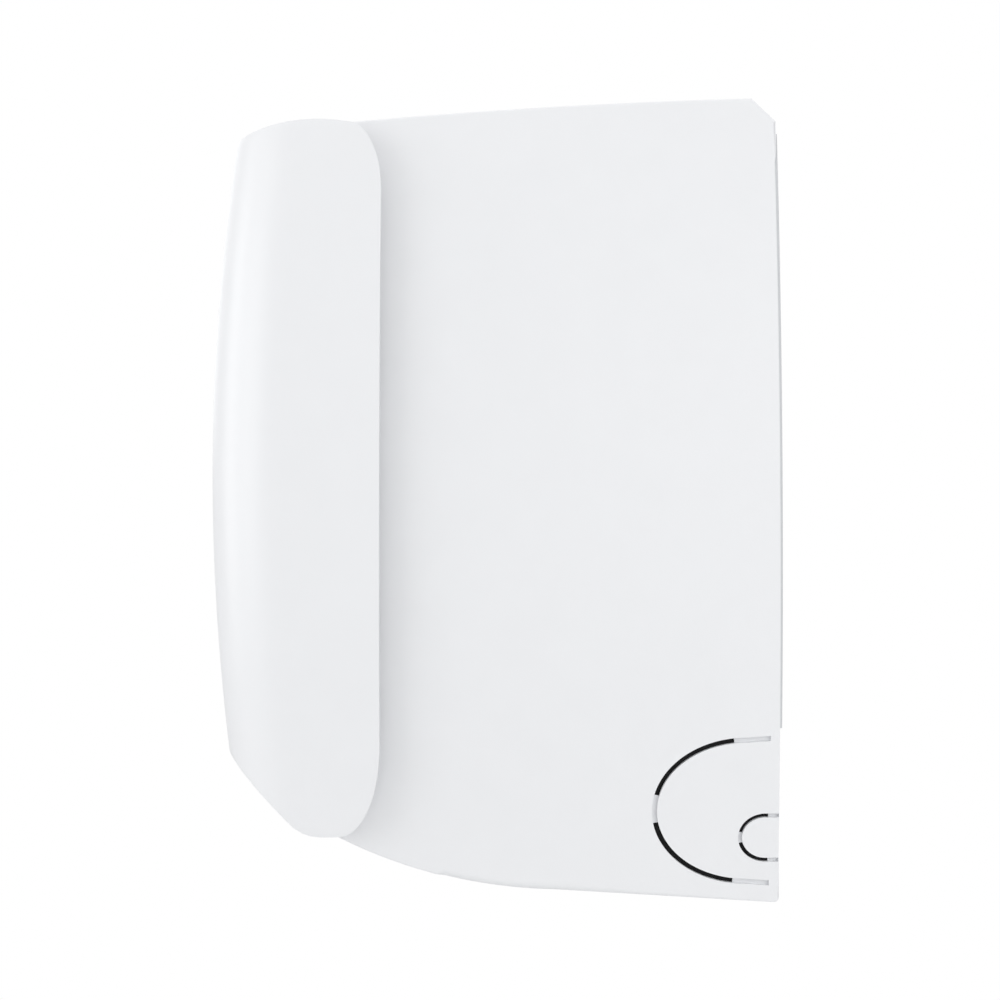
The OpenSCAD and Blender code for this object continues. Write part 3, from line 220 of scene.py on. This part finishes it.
def tube_between(bm, a, b, r, n=32):
    """Adds a closed cylinder between two points in millimetres."""
    a, b = Vector(a), Vector(b)
    axis = (b - a).normalized()
    side = axis.orthogonal().normalized()
    other = axis.cross(side)
    rings = []
    for c in (a, b):
        rings.append([bm.verts.new(pt(*(c + side * r * math.cos(t) + other * r * math.sin(t))))
                      for t in (2 * math.pi * i / n for i in range(n))])
    bm.faces.new(list(reversed(rings[0])))
    bm.faces.new(rings[1])
    for i in range(n):
        j = (i + 1) % n
        bm.faces.new((rings[0][i], rings[0][j], rings[1][j], rings[1][i]))


def loft(bm, rings):
    """Joins rings of vertices of equal length, and leaves both ends open."""
    for a, b in zip(rings, rings[1:]):
        n = len(a)
        for i in range(n):
            j = (i + 1) % n
            bm.faces.new((a[i], a[j], b[j], b[i]))


def cut(obj, cutter):
    mod = obj.modifiers.new("cut", "BOOLEAN")
    mod.operation = "DIFFERENCE"
    mod.solver = "EXACT"
    mod.object = cutter
    apply_modifiers(obj)
    bpy.data.objects.remove(cutter)


BEVEL_FROM = 50.0


def bevel(obj, width, segments, smooth_from):
    """Rounds the object's sharp edges and shades it smooth."""
    mod = obj.modifiers.new("bevel", "BEVEL")
    mod.width = width * MM
    mod.segments = segments
    mod.limit_method = "ANGLE"
    mod.angle_limit = math.radians(BEVEL_FROM)
    mod.harden_normals = False
    apply_modifiers(obj)
    smooth(obj.data, smooth_from)


# ---- Casing: lofted with a fillet round each bulging end, then cut out ----

FILLET_LOW, FILLET_TOP, FILLET_BACK, FILLET_FRONT = 3.0, 0.9, 0.5, 0.7
FILLET_FADE = 8.0
FILLET_STEPS = 5
UPPER_Z, LOWER_Z, REAR_Y, FRONT_Y = 200.0, 30.0, -2.8, -128.0
CAP_BAND = 8.0
CUT_DIST = 1e-7


def end_fillet(p):
    """Radius of the casing's end fillet at an outline point, largest along the underside."""
    y, z = p
    if z > UPPER_Z:
        return FILLET_TOP
    if y > REAR_Y:
        return FILLET_BACK
    if z > LOWER_Z or y < FRONT_Y:
        return FILLET_FRONT
    return FILLET_LOW * min(1.0, -y / FILLET_FADE)


def with_corner(outline, y):
    """The outline with points added where it passes depth y."""
    out = []
    for a, b in zip(outline, outline[1:] + outline[:1]):
        out.append(a)
        if (a[0] - y) * (b[0] - y) < 0:
            t = (y - a[0]) / (b[0] - a[0])
            out.append((y, a[1] + (b[1] - a[1]) * t))
    return out


def faces_cut(bm, parts, at, normal):
    """Splits a flat part of the mesh along a plane and gives back its faces."""
    found = bmesh.ops.bisect_plane(bm, geom=parts, plane_co=at, plane_no=normal, dist=CUT_DIST)
    return [g for g in found["geom"] if isinstance(g, bmesh.types.BMFace)]


def crowned_solid(bm, outline, half, fillet):
    """A closed solid with the outline as its side and both ends bulging, with end fillets."""
    corner = CORNER_Y + (CASE_HALF - half) * (math.sqrt(2) - 1)
    outline = with_corner(outline, corner)
    normals = left_normals(outline, True)
    sections = [(0.0, 0.0)]
    if fillet:
        sections = [(1 - math.cos(a), math.sin(a) - 1)
                    for a in (math.pi / 2 * i / FILLET_STEPS for i in range(FILLET_STEPS + 1))]

    def ring(side, inset, out):
        verts = []
        for p, n in zip(outline, normals):
            f = fillet(p) if fillet else 0.0
            y, z = p[0] + n[0] * f * inset, p[1] + n[1] * f * inset
            verts.append(bm.verts.new(pt(side * (half - sag(z) - nose(y, corner) + f * out), y, z)))
        return verts

    rings = [ring(-1, *sections[k]) for k in range(len(sections) - 1, -1, -1)]
    rings += [ring(1, *sections[k]) for k in range(len(sections))]
    loft(bm, rings)
    left_cap = bm.faces.new(list(reversed(rings[0])))
    right_cap = bm.faces.new(rings[-1])
    for cap in (left_cap, right_cap):
        faces = faces_cut(bm, [cap] + list(cap.edges) + list(cap.verts), pt(0, corner, 0), (0, 1, 0))
        z = CAP_BAND
        while z < UNIT_H:
            parts = list({v for f in faces for v in f.verts}) + list({e for f in faces for e in f.edges})
            faces = faces_cut(bm, parts + faces, pt(0, 0, z), (0, 0, 1))
            z += CAP_BAND
        for v in {v for f in faces for v in f.verts}:
            side = 1 if v.co.x > 0 else -1
            v.co.x = side * (half - sag(v.co.z / MM + PLATE_C) - nose(v.co.y / MM, corner)) * MM
    bmesh.ops.recalc_face_normals(bm, faces=bm.faces)


KNOCK_H, KNOCK_D, KNOCK_C, KNOCK_SLOT = 55.6, 48.2, 35.0, 1.95
CORE_H, CORE_D, CORE_C, CORE_SLOT = 18.4, 15.8, 24.9, 1.5
KNOCK_END, CORE_END = -4.6, -1.2
KNOCK_FLARE, CORE_FLARE = 0.7, 0.0
# Webs as boxes in the side view: least depth, least height, greatest depth, greatest height
KNOCK_WEBS = ((-17.9, 40.0, 30.0, 80.0), (-17.9, 0.0, 30.0, 12.0), (-60.0, 30.4, -40.0, 40.7))
CORE_WEBS = ((-20.0, 22.6, -12.0, 26.6), (-4.6, 0.0, 30.0, 80.0))
WEB_T = 0.8
SLOT_OUTSIDE, SLOT_INSIDE = 4.0, 2.0
SPLIT_Y, SPLIT_SHARE = -5.0, 0.9
DEE_STEPS = 72


def dee(d, h, c, slot, back, flare):
    """Open path round a knock-out: half an ellipse, and straight sides that spread to the rear."""
    flat = min(d * 0.35, 13.0)
    a, b = d - flat - slot, h / 2 - slot
    arc = [(CASE_BACK - flat + a * math.cos(t), c + b * math.sin(t))
           for t in (math.radians(90 + 180 * i / DEE_STEPS) for i in range(DEE_STEPS + 1))]
    mid = b + flare * SPLIT_SHARE
    return [(back, c + b + flare), (SPLIT_Y, c + mid)] + arc + [(SPLIT_Y, c - mid), (back, c - b - flare)]


def slot_bands():
    """Outlines of both slots. The shallow ones are whole, the deep ones leave the webs out."""
    for d, h, c, slot, back, flare, webs in (
            (KNOCK_D, KNOCK_H, KNOCK_C, KNOCK_SLOT, KNOCK_END, KNOCK_FLARE, KNOCK_WEBS),
            (CORE_D, CORE_H, CORE_C, CORE_SLOT, CORE_END, CORE_FLARE, CORE_WEBS)):
        outer = dee(d, h, c, 0.0, back, flare)
        inner = dee(d, h, c, slot, back, flare)
        quads = [(outer[i], outer[i + 1], inner[i + 1], inner[i]) for i in range(len(outer) - 1)]

        def in_web(q):
            y, z = sum(p[0] for p in q) / 4, sum(p[1] for p in q) / 4
            return any(w[0] < y < w[2] and w[1] < z < w[3] for w in webs)

        runs = [(True, quads)]
        for web, group in itertools.groupby(quads, in_web):
            if not web:
                runs.append((False, list(group)))
        for shallow, run in runs:
            yield [q[0] for q in run] + [run[-1][1], run[-1][2]] + [q[3] for q in reversed(run)], shallow


def slot_object(side, outline, shallow):
    """A slot band as a cutter. A shallow one stops at the webs, which follow the bulging end."""
    bm = bmesh.new()
    n = len(outline)
    rings = []
    for deep in (True, False):
        verts = []
        for y, z in outline:
            skin = CASE_HALF - sag(z)
            if deep:
                x = skin - WALL + WEB_T if shallow else skin - WALL - SLOT_INSIDE
            else:
                x = skin + SLOT_OUTSIDE
            verts.append(bm.verts.new(pt(side * x, y, z)))
        rings.append(verts)
    bm.faces.new(list(reversed(rings[0])))
    bm.faces.new(rings[1])
    for i in range(n):
        j = (i + 1) % n
        bm.faces.new((rings[0][i], rings[0][j], rings[1][j], rings[1][i]))
    bmesh.ops.triangulate(bm, faces=[f for f in bm.faces if len(f.verts) > 4])
    bmesh.ops.recalc_face_normals(bm, faces=bm.faces)
    return new_object("cutter", bm)


PANEL_PIVOT = (-UNIT_D + 33, UNIT_H - 22)
FLAP_MOUTH = 396.0
LIP_Y = -UNIT_D + 103
GRILLE_HALF = 400.0
GRILLE_Y = (-150.0, -24.0)
DUCT_L, DUCT_R = -393.0, 304.0
FILTER_LOW_Z = 116.0
CASING_SCREWS = ((-405, 121), (402, 121), (-405, 262), (402, 262))
SCREW_HOLE_R, PANEL_PIN_HOLE_R = 2.2, 3.08
LENS_X, LENS_HOLE_R, BUTTON_X, BUTTON_HOLE_R = 406.0, 6.05, 420.5, 4.3
CHIN_DRILL = 8.0
HEEL_R, HEEL_INNER_R = 2.0, 3.5

chin_ref = arc3(CHIN_TOP, CHIN_MID, KNEE, 8)
CHIN_AT = chin_ref[3]
chin_run = (chin_ref[4][0] - chin_ref[2][0], chin_ref[4][1] - chin_ref[2][1])
CHIN_OUT = (chin_run[1] / math.hypot(*chin_run), -chin_run[0] / math.hypot(*chin_run))


def chin_point(x, out):
    """A point over the chin, out from its surface."""
    return (x, CHIN_AT[0] + CHIN_OUT[0] * out, CHIN_AT[1] + CHIN_OUT[1] * out)


def cutter_object(build):
    bm = bmesh.new()
    build(bm)
    bmesh.ops.recalc_face_normals(bm, faces=bm.faces)
    return new_object("cutter", bm)


def build_casing():
    bm = bmesh.new()
    crowned_solid(bm, case_outline(HEEL_R), CASE_HALF, end_fillet)
    casing = new_object("casing_shell", bm)

    def cavity(b):
        crowned_solid(b, moved(case_outline(HEEL_INNER_R), WALL, True), CASE_HALF - WALL, None)

    def rear(b):
        crowned_solid(b, [(-20, WALL), (5, WALL), (5, UNIT_H - REAR_CHAMFER - WALL - 2),
                          (-20, UNIT_H - REAR_CHAMFER - WALL - 2)], CASE_HALF - WALL, None)

    cut(casing, cutter_object(cavity))
    cut(casing, cutter_object(rear))
    cut(casing, cutter_object(lambda b: block(b, (DUCT_L + 6, CASE_FRONT - 2, FILTER_LOW_Z),
                                              (DUCT_R - 6, CASE_FRONT + 9, BROW_END[1] - 8))))
    cut(casing, cutter_object(lambda b: block(b, (-GRILLE_HALF, GRILLE_Y[0], UNIT_H - 25),
                                              (GRILLE_HALF, GRILLE_Y[1], UNIT_H + 5))))
    cut(casing, cutter_object(lambda b: prism(b, [
        (-UNIT_D - 20, CHIN_TOP[1] + 0.5), (-UNIT_D - 20, -9), (LIP_Y - 4, -9), (LIP_Y - 4, 24),
        (-UNIT_D + 30, CHIN_TOP[1] + 0.5)], -FLAP_MOUTH, FLAP_MOUTH)))

    def round_holes(b):
        tube_between(b, (-HALF_W, *PANEL_PIVOT), (HALF_W, *PANEL_PIVOT), PANEL_PIN_HOLE_R)
        for x, z in CASING_SCREWS:
            tube_between(b, (x, CASE_FRONT - 1, z), (x, CASE_FRONT + WALL + 1, z), SCREW_HOLE_R)
        for x, r in ((LENS_X, LENS_HOLE_R), (BUTTON_X, BUTTON_HOLE_R)):
            tube_between(b, chin_point(x, -CHIN_DRILL), chin_point(x, CHIN_DRILL), r)

    cut(casing, cutter_object(round_holes))
    for side in (-1, 1):
        for outline, shallow in slot_bands():
            cut(casing, slot_object(side, outline, shallow))
    smooth(casing.data, 24)
    mod = casing.modifiers.new("normals", "WEIGHTED_NORMAL")
    mod.keep_sharp = True
    mod.weight = 50
    return casing


# Painted shade: how far in the black sheets behind the knock-outs sit, and how deep their dimples are.
SHADE_SHEET_NEAR, SHADE_SHEET_FAR, SHADE_SHEET_DIMPLE = WALL + 0.05, WALL + 1.0, 0.12


def build_shade_sheets():
    """Black sheets inside the casing's ends, behind the knock-outs, with a dimpled face: painted shade
    that makes the slots read as dark as the shaded inside of the casing.
    """
    bm = bmesh.new()
    low, high, front, rear, rows, cols = 5.2, 63.0, -50.0, -1.2, 24, 20
    for side in (-1, 1):
        skins = []
        for depth in (SHADE_SHEET_NEAR, SHADE_SHEET_FAR):
            grid = []
            for j in range(rows + 1):
                z = low + (high - low) * j / rows
                cell = []
                for i in range(cols + 1):
                    y = front + (rear - front) * i / cols
                    dimple = SHADE_SHEET_DIMPLE * ((i + j) % 2) if depth == SHADE_SHEET_FAR else 0.0
                    cell.append(bm.verts.new(pt(side * (CASE_HALF - sag(z) - depth + dimple), y, z)))
                grid.append(cell)
            skins.append(grid)
        a, b = skins
        for j in range(rows):
            for i in range(cols):
                for g in (a, b):
                    bm.faces.new((g[j][i], g[j][i + 1], g[j + 1][i + 1], g[j + 1][i]))
        rim = [(0, i) for i in range(cols)] + [(j, cols) for j in range(rows)]
        rim += [(rows, i) for i in range(cols, 0, -1)] + [(j, 0) for j in range(rows, 0, -1)]
        for p, q in zip(rim, rim[1:] + rim[:1]):
            bm.faces.new((a[p[0]][p[1]], a[q[0]][q[1]], b[q[0]][q[1]], b[p[0]][p[1]]))
    bmesh.ops.recalc_face_normals(bm, faces=bm.faces)
    shade_sheets = new_object("knock_out_shade_sheets", bm)
    smooth(shade_sheets.data, 30)
    return shade_sheets


# ---- Front panel: one bowed sheet, bent round both ends, with rounded edges ----

BEND_R, WING_D = 28.0, 65.0
PANEL_LOW_Z, PANEL_DROP = 58.0, 10.6
WING_REAR = -UNIT_D + WING_D
TOP_PEAK = UNIT_H - PANEL_DROP
REAR_TOP, REAR_LOW = (13.0, 26.0), (15.5, 33.0)
TOP_FLAT, TOP_DIP = 12.0, 0.9
BROW_K, BROW_POWER = 0.0221, 1.632
WING_LOW = 26.8
FOOT_Y, FOOT_R = -UNIT_D + 43, 15.7


def top_edge(y):
    c = WING_REAR - REAR_TOP[0]
    if y > c:
        drop = REAR_TOP[1] * (1 - math.sqrt(max(0.0, 1 - ((y - c) / REAR_TOP[0]) ** 2)))
        return TOP_PEAK - TOP_DIP - drop
    peak = c - TOP_FLAT
    if y > peak:
        return TOP_PEAK - ((y - peak) / TOP_FLAT) ** 2 * TOP_DIP
    return TOP_PEAK - BROW_K * (peak - y) ** BROW_POWER


def low_edge(y):
    c = WING_REAR - REAR_LOW[0]
    s45 = math.sin(math.radians(45))
    if y > c:
        return WING_LOW + REAR_LOW[1] * (1 - math.sqrt(max(0.0, 1 - ((y - c) / REAR_LOW[0]) ** 2)))
    if y > FOOT_Y:
        return WING_LOW
    if y > FOOT_Y - FOOT_R * s45:
        return WING_LOW + FOOT_R - math.sqrt(FOOT_R ** 2 - (FOOT_Y - y) ** 2)
    return WING_LOW + FOOT_R * (1 - s45) + FOOT_Y - FOOT_R * s45 - y


def build_panel():
    bend_steps, flat_steps, corner_steps, levels = 20, 6, 16, 72
    columns = [(BEND_R * (1 - math.cos(a)) / WING_D, a)
               for a in (math.pi / 2 * i / bend_steps for i in range(bend_steps + 1))]
    start = BEND_R / WING_D
    end = (WING_D - REAR_LOW[0]) / WING_D
    columns += [(start + (end - start) * i / flat_steps, math.pi / 2) for i in range(1, flat_steps)]
    columns += [((WING_D - REAR_LOW[0] * (1 - math.sin(a))) / WING_D, math.pi / 2)
                for a in (math.pi / 2 * i / corner_steps for i in range(corner_steps + 1))]
    sheet = [(c, a, -1) for c, a in reversed(columns)] + [(c, a, 1) for c, a in columns]

    def depth_at(c, z):
        return bow(z) + c[0] * (WING_REAR - bow(z))

    def low_of(c):
        if c[0] == 0:
            return PANEL_LOW_Z
        z = 45.0
        for _ in range(4):
            z = low_edge(depth_at(c, z))
        return max(min(PANEL_LOW_Z + 1, z), WING_LOW)

    def high_of(c):
        return top_edge(depth_at(c, TOP_PEAK - 2))

    def point(c, z, t):
        x = c[2] * (HALF_W - BEND_R * (1 - math.sin(c[1])) - sag(z) - t * math.sin(c[1]))
        return pt(x, depth_at(c, z) + t * math.cos(c[1]), z)

    bm = bmesh.new()
    grids = []
    for t in (0.0, PANEL_T):
        grid = []
        for c in sheet:
            lo, hi = low_of(c), high_of(c)
            heights = [lo + (hi - lo) * i / levels for i in range(levels + 1)]
            grid.append([bm.verts.new(point(c, z, t)) for z in heights])
        grids.append(grid)
    out, inn = grids
    n = len(sheet)
    for j in range(n - 1):
        for i in range(levels):
            bm.faces.new((out[j][i], out[j + 1][i], out[j + 1][i + 1], out[j][i + 1]))
            bm.faces.new((inn[j][i], inn[j][i + 1], inn[j + 1][i + 1], inn[j + 1][i]))
        bm.faces.new((out[j][0], inn[j][0], inn[j + 1][0], out[j + 1][0]))
        bm.faces.new((out[j][levels], out[j + 1][levels], inn[j + 1][levels], inn[j][levels]))
    for i in range(levels):
        bm.faces.new((out[0][i], out[0][i + 1], inn[0][i + 1], inn[0][i]))
        bm.faces.new((out[n - 1][i], inn[n - 1][i], inn[n - 1][i + 1], out[n - 1][i + 1]))
    bmesh.ops.recalc_face_normals(bm, faces=bm.faces)
    panel = new_object("panel_shell", bm)
    bevel(panel, 0.8, segments=3, smooth_from=40)
    return panel


# ---- Flap, flush with the chin and the belly ----

FLAP_L, FLAP_T = 782.0, 3.0
FLAP_PIVOT = (-UNIT_D + 87, 30.0)
FLAP_PIN_R = 3.0
FLAP_ARM = ((6.0, -1.0), (4.6, 3.0), (2.0, 5.0))
FLAP_ARM_T = 3.0
FLAP_PIN_REACH = ((-1, 1.0), (1, 7.0))


def build_flap():
    path = chin[2:] + [p for p in belly[1:] if p[0] < LIP_Y - 7]
    inner = moved(path, FLAP_T)
    half = FLAP_L / 2
    bm = bmesh.new()
    prism(bm, path + list(reversed(inner)), -half, half)
    bmesh.ops.recalc_face_normals(bm, faces=bm.faces)
    flap = new_object("flap_shell", bm)
    bevel(flap, 0.7, segments=3, smooth_from=30)
    mid = moved(path, FLAP_T / 2)
    seat = [p for p in mid if FLAP_PIVOT[0] - 26 < p[0] < FLAP_PIVOT[0] + 6]
    px, pz = FLAP_PIVOT
    arm = [(px + y, pz + z) for y, z in FLAP_ARM] + [(px - y, pz + z) for y, z in reversed(FLAP_ARM)]
    bm = bmesh.new()
    for x in (-half, half - FLAP_ARM_T):
        prism(bm, seat + arm, x, x + FLAP_ARM_T)
    for s, reach in FLAP_PIN_REACH:
        tube_between(bm, (s * (half - 1), px, pz), (s * (FLAP_MOUTH + reach), px, pz), FLAP_PIN_R)
    bmesh.ops.recalc_face_normals(bm, faces=bm.faces)
    arms = new_object("flap_arms", bm)
    bevel(arms, 0.4, segments=2, smooth_from=30)
    return flap, arms


# ---- Materials ----


def material(name, color, rough, metal=0.0, coat=0.0, grain=None, bump=0.0, tint=0.03,
             mottle=60.0, specular=0.5):
    """Principled surface whose colour, roughness and relief vary with noise in object space."""
    mat = bpy.data.materials.new(name)
    mat.use_nodes = True
    nodes, links = mat.node_tree.nodes, mat.node_tree.links
    shader = nodes["Principled BSDF"]
    shader.inputs["Metallic"].default_value = metal
    shader.inputs["Specular IOR Level"].default_value = specular
    shader.inputs["Coat Weight"].default_value = coat
    shader.inputs["Coat Roughness"].default_value = 0.12
    coords = nodes.new("ShaderNodeTexCoord")
    broad = nodes.new("ShaderNodeTexNoise")
    broad.inputs["Scale"].default_value = mottle
    broad.inputs["Detail"].default_value = 4.0
    links.new(coords.outputs["Object"], broad.inputs["Vector"])
    ramp = nodes.new("ShaderNodeValToRGB")
    ramp.color_ramp.elements[0].position = 0.3
    ramp.color_ramp.elements[1].position = 0.7
    for e, k in zip(ramp.color_ramp.elements, (1 - tint, 1 + tint)):
        e.color = (*[min(1.0, c * k) for c in color], 1)
    links.new(broad.outputs["Fac"], ramp.inputs["Fac"])
    links.new(ramp.outputs["Color"], shader.inputs["Base Color"])
    rough_map = nodes.new("ShaderNodeMapRange")
    rough_map.inputs["To Min"].default_value = max(0.03, rough - 0.05)
    rough_map.inputs["To Max"].default_value = min(1.0, rough + 0.05)
    links.new(broad.outputs["Fac"], rough_map.inputs["Value"])
    links.new(rough_map.outputs["Result"], shader.inputs["Roughness"])
    if grain:
        fine = nodes.new("ShaderNodeTexNoise")
        fine.inputs["Scale"].default_value = grain
        fine.inputs["Detail"].default_value = 3.0
        links.new(coords.outputs["Object"], fine.inputs["Vector"])
        relief = nodes.new("ShaderNodeBump")
        relief.inputs["Strength"].default_value = bump
        relief.inputs["Distance"].default_value = 0.0001
        links.new(fine.outputs["Fac"], relief.inputs["Height"])
        links.new(relief.outputs["Normal"], shader.inputs["Normal"])
    return mat


def srgb(r, g, b):
    def lin(v):
        v /= 255.0
        return v / 12.92 if v <= 0.04045 else ((v + 0.055) / 1.055) ** 2.4
    return (lin(r), lin(g), lin(b))


# Colour, roughness and what else each look has
LOOKS = {
    "panel_white": ((238, 239, 241), 0.34, dict(grain=2600, bump=0.12, tint=0.004)),
    "casing_white": ((238, 239, 241), 0.42, dict(grain=2200, bump=0.2, tint=0.005)),
    "louvre_white": ((226, 228, 230), 0.5, dict(grain=2000, bump=0.25, tint=0.01)),
    "chassis_grey": ((214, 216, 218), 0.55, dict(grain=1500, bump=0.3, tint=0.015)),
    "galvanised": ((190, 195, 200), 0.38, dict(metal=1.0, mottle=140, tint=0.09, grain=600, bump=0.15)),
    "steel": ((196, 199, 203), 0.26, dict(metal=1.0, grain=900, bump=0.15, tint=0.03)),
    "aluminium": ((198, 212, 222), 0.34, dict(metal=1.0, grain=800, bump=0.2, tint=0.04)),
    "copper": ((200, 124, 82), 0.3, dict(metal=1.0, mottle=45, tint=0.1, grain=500, bump=0.15)),
    "brass": ((205, 170, 96), 0.28, dict(metal=1.0, mottle=90, tint=0.05, grain=700, bump=0.1)),
    "foam": ((240, 240, 236), 0.9, dict(grain=420, bump=0.9, tint=0.03, mottle=200, specular=0.2)),
    "rubber": ((20, 20, 21), 0.75, dict(grain=900, bump=0.5, tint=0.08, specular=0.3)),
    "bumper_grey": ((178, 180, 183), 0.7, dict(grain=900, bump=0.5, tint=0.03, specular=0.3)),
    "hose_grey": ((204, 206, 208), 0.5, dict(grain=1000, bump=0.3, tint=0.03)),
    "motor_shell": ((196, 199, 203), 0.42, dict(metal=0.6, grain=900, bump=0.3, tint=0.03)),
    "box_grey": ((92, 96, 101), 0.5, dict(grain=1300, bump=0.4, tint=0.04)),
    "board_green": ((44, 104, 70), 0.35, dict(coat=0.4, mottle=300, tint=0.12, grain=700, bump=0.3)),
    "terminal_black": ((34, 36, 39), 0.5, dict(grain=1100, bump=0.4, tint=0.06)),
    "lens_smoke": ((48, 52, 58), 0.1, dict(coat=1.0, tint=0.03, mottle=30)),
    "mesh_grey": ((176, 182, 188), 0.65, dict(grain=1800, bump=1.0, tint=0.05, mottle=900)),
    "carbon_grey": ((66, 76, 84), 0.7, dict(grain=1500, bump=0.8, tint=0.12, mottle=700)),
    "fan_grey": ((78, 83, 88), 0.5, dict(grain=1200, bump=0.3, tint=0.04)),
}
MATERIALS = {name: material(name, srgb(*rgb), rough, **more) for name, (rgb, rough, more) in LOOKS.items()}


def dress(obj, slot):
    obj.data.materials.clear()
    obj.data.materials.append(MATERIALS[slot])


slot_of = {s["node"]: s["material_slot"] for s in frame["record"]["subparts"]}
for name, obj in frame["nodes"].items():
    mat = MATERIALS[slot_of[name]]
    if obj.data.materials:
        for i in range(len(obj.data.materials)):
            obj.data.materials[i] = mat
    else:
        obj.data.materials.append(mat)

# ---- Pieces ----

casing = build_casing()
dress(casing, "casing_white")
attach(casing, "unit")
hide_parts("front_casing")

# Painted shade: black sheets behind the knock-out slots, in the rubber look, so the slots render dark.
shade_sheets = build_shade_sheets()
dress(shade_sheets, "rubber")
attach(shade_sheets, "unit")

panel = build_panel()
dress(panel, "panel_white")
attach(panel, "panel")
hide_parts("front_panel")

for piece in build_flap():
    dress(piece, "casing_white")
    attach(piece, "flap")
    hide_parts("air_flap")

# ---- Stage and light ----

WORLD_LOW, WORLD_HIGH = 0.34, 0.92


def make_world():
    world = bpy.data.worlds.new("studio")
    bpy.context.scene.world = world
    world.use_nodes = True
    nodes, links = world.node_tree.nodes, world.node_tree.links
    nodes.clear()
    out = nodes.new("ShaderNodeOutputWorld")
    mix = nodes.new("ShaderNodeMixShader")
    seen = nodes.new("ShaderNodeBackground")
    seen.inputs["Color"].default_value = (1, 1, 1, 1)
    seen.inputs["Strength"].default_value = 1.0
    light = nodes.new("ShaderNodeBackground")
    light.inputs["Color"].default_value = (0.995, 0.997, 1, 1)
    coords = nodes.new("ShaderNodeTexCoord")
    parts = nodes.new("ShaderNodeSeparateXYZ")
    strength = nodes.new("ShaderNodeMapRange")
    strength.inputs["From Min"].default_value = -1.0
    strength.inputs["To Min"].default_value = WORLD_LOW
    strength.inputs["To Max"].default_value = WORLD_HIGH
    links.new(coords.outputs["Generated"], parts.inputs["Vector"])
    links.new(parts.outputs["Z"], strength.inputs["Value"])
    links.new(strength.outputs["Result"], light.inputs["Strength"])
    path = nodes.new("ShaderNodeLightPath")
    links.new(path.outputs["Is Camera Ray"], mix.inputs["Fac"])
    links.new(light.outputs["Background"], mix.inputs[1])
    links.new(seen.outputs["Background"], mix.inputs[2])
    links.new(mix.outputs["Shader"], out.inputs["Surface"])


# Where each lamp stands, what it faces, its size and its power
LAMPS = {
    "key": ((2.0, -2.4, 0.5), (0.3, -0.15, 0), (1.6, 1.6), 13),
    "front": ((0.4, -2.9, 0.4), (0.3, -0.15, 0), (1.2, 1.6), 13),
    "side": ((2.6, 1.1, 0.3), (0.43, -0.03, 0), (1.4, 1.4), 14),
    "top": ((0, -0.4, 2.4), (0, -0.1, 0), (2.4, 1.6), 4),
    "left": ((-2.2, -1.6, 0.9), (0, -0.1, 0), (1.6, 1.6), 6),
    "back": ((0.4, 2.4, 0.9), (0, 0, 0), (2.0, 1.4), 6),
}
FLOOR_Z, FLOOR_R, FLOOR_GREY = -1.1, 2.1, 0.76


def area_light(name, at, target, size, power):
    data = bpy.data.lights.new(name, "AREA")
    data.shape = "RECTANGLE"
    data.size, data.size_y = size
    data.energy = power
    obj = bpy.data.objects.new(name, data)
    bpy.context.scene.collection.objects.link(obj)
    obj.location = at
    obj.rotation_euler = (Vector(target) - Vector(at)).to_track_quat("-Z", "Y").to_euler()
    obj.visible_camera = False


def make_floor():
    bm = bmesh.new()
    bmesh.ops.create_circle(bm, cap_ends=True, segments=96, radius=FLOOR_R)
    floor = new_object("floor", bm)
    floor.location = (0, 0, FLOOR_Z)
    mat = bpy.data.materials.new("floor")
    mat.use_nodes = True
    shader = mat.node_tree.nodes["Principled BSDF"]
    shader.inputs["Base Color"].default_value = (FLOOR_GREY, FLOOR_GREY, FLOOR_GREY, 1)
    shader.inputs["Roughness"].default_value = 0.9
    floor.data.materials.append(mat)


make_world()
make_floor()
for lamp, setting in LAMPS.items():
    area_light(lamp, *setting)

bpy.context.scene.view_settings.view_transform = "Standard"

bpy.context.view_layer.update()
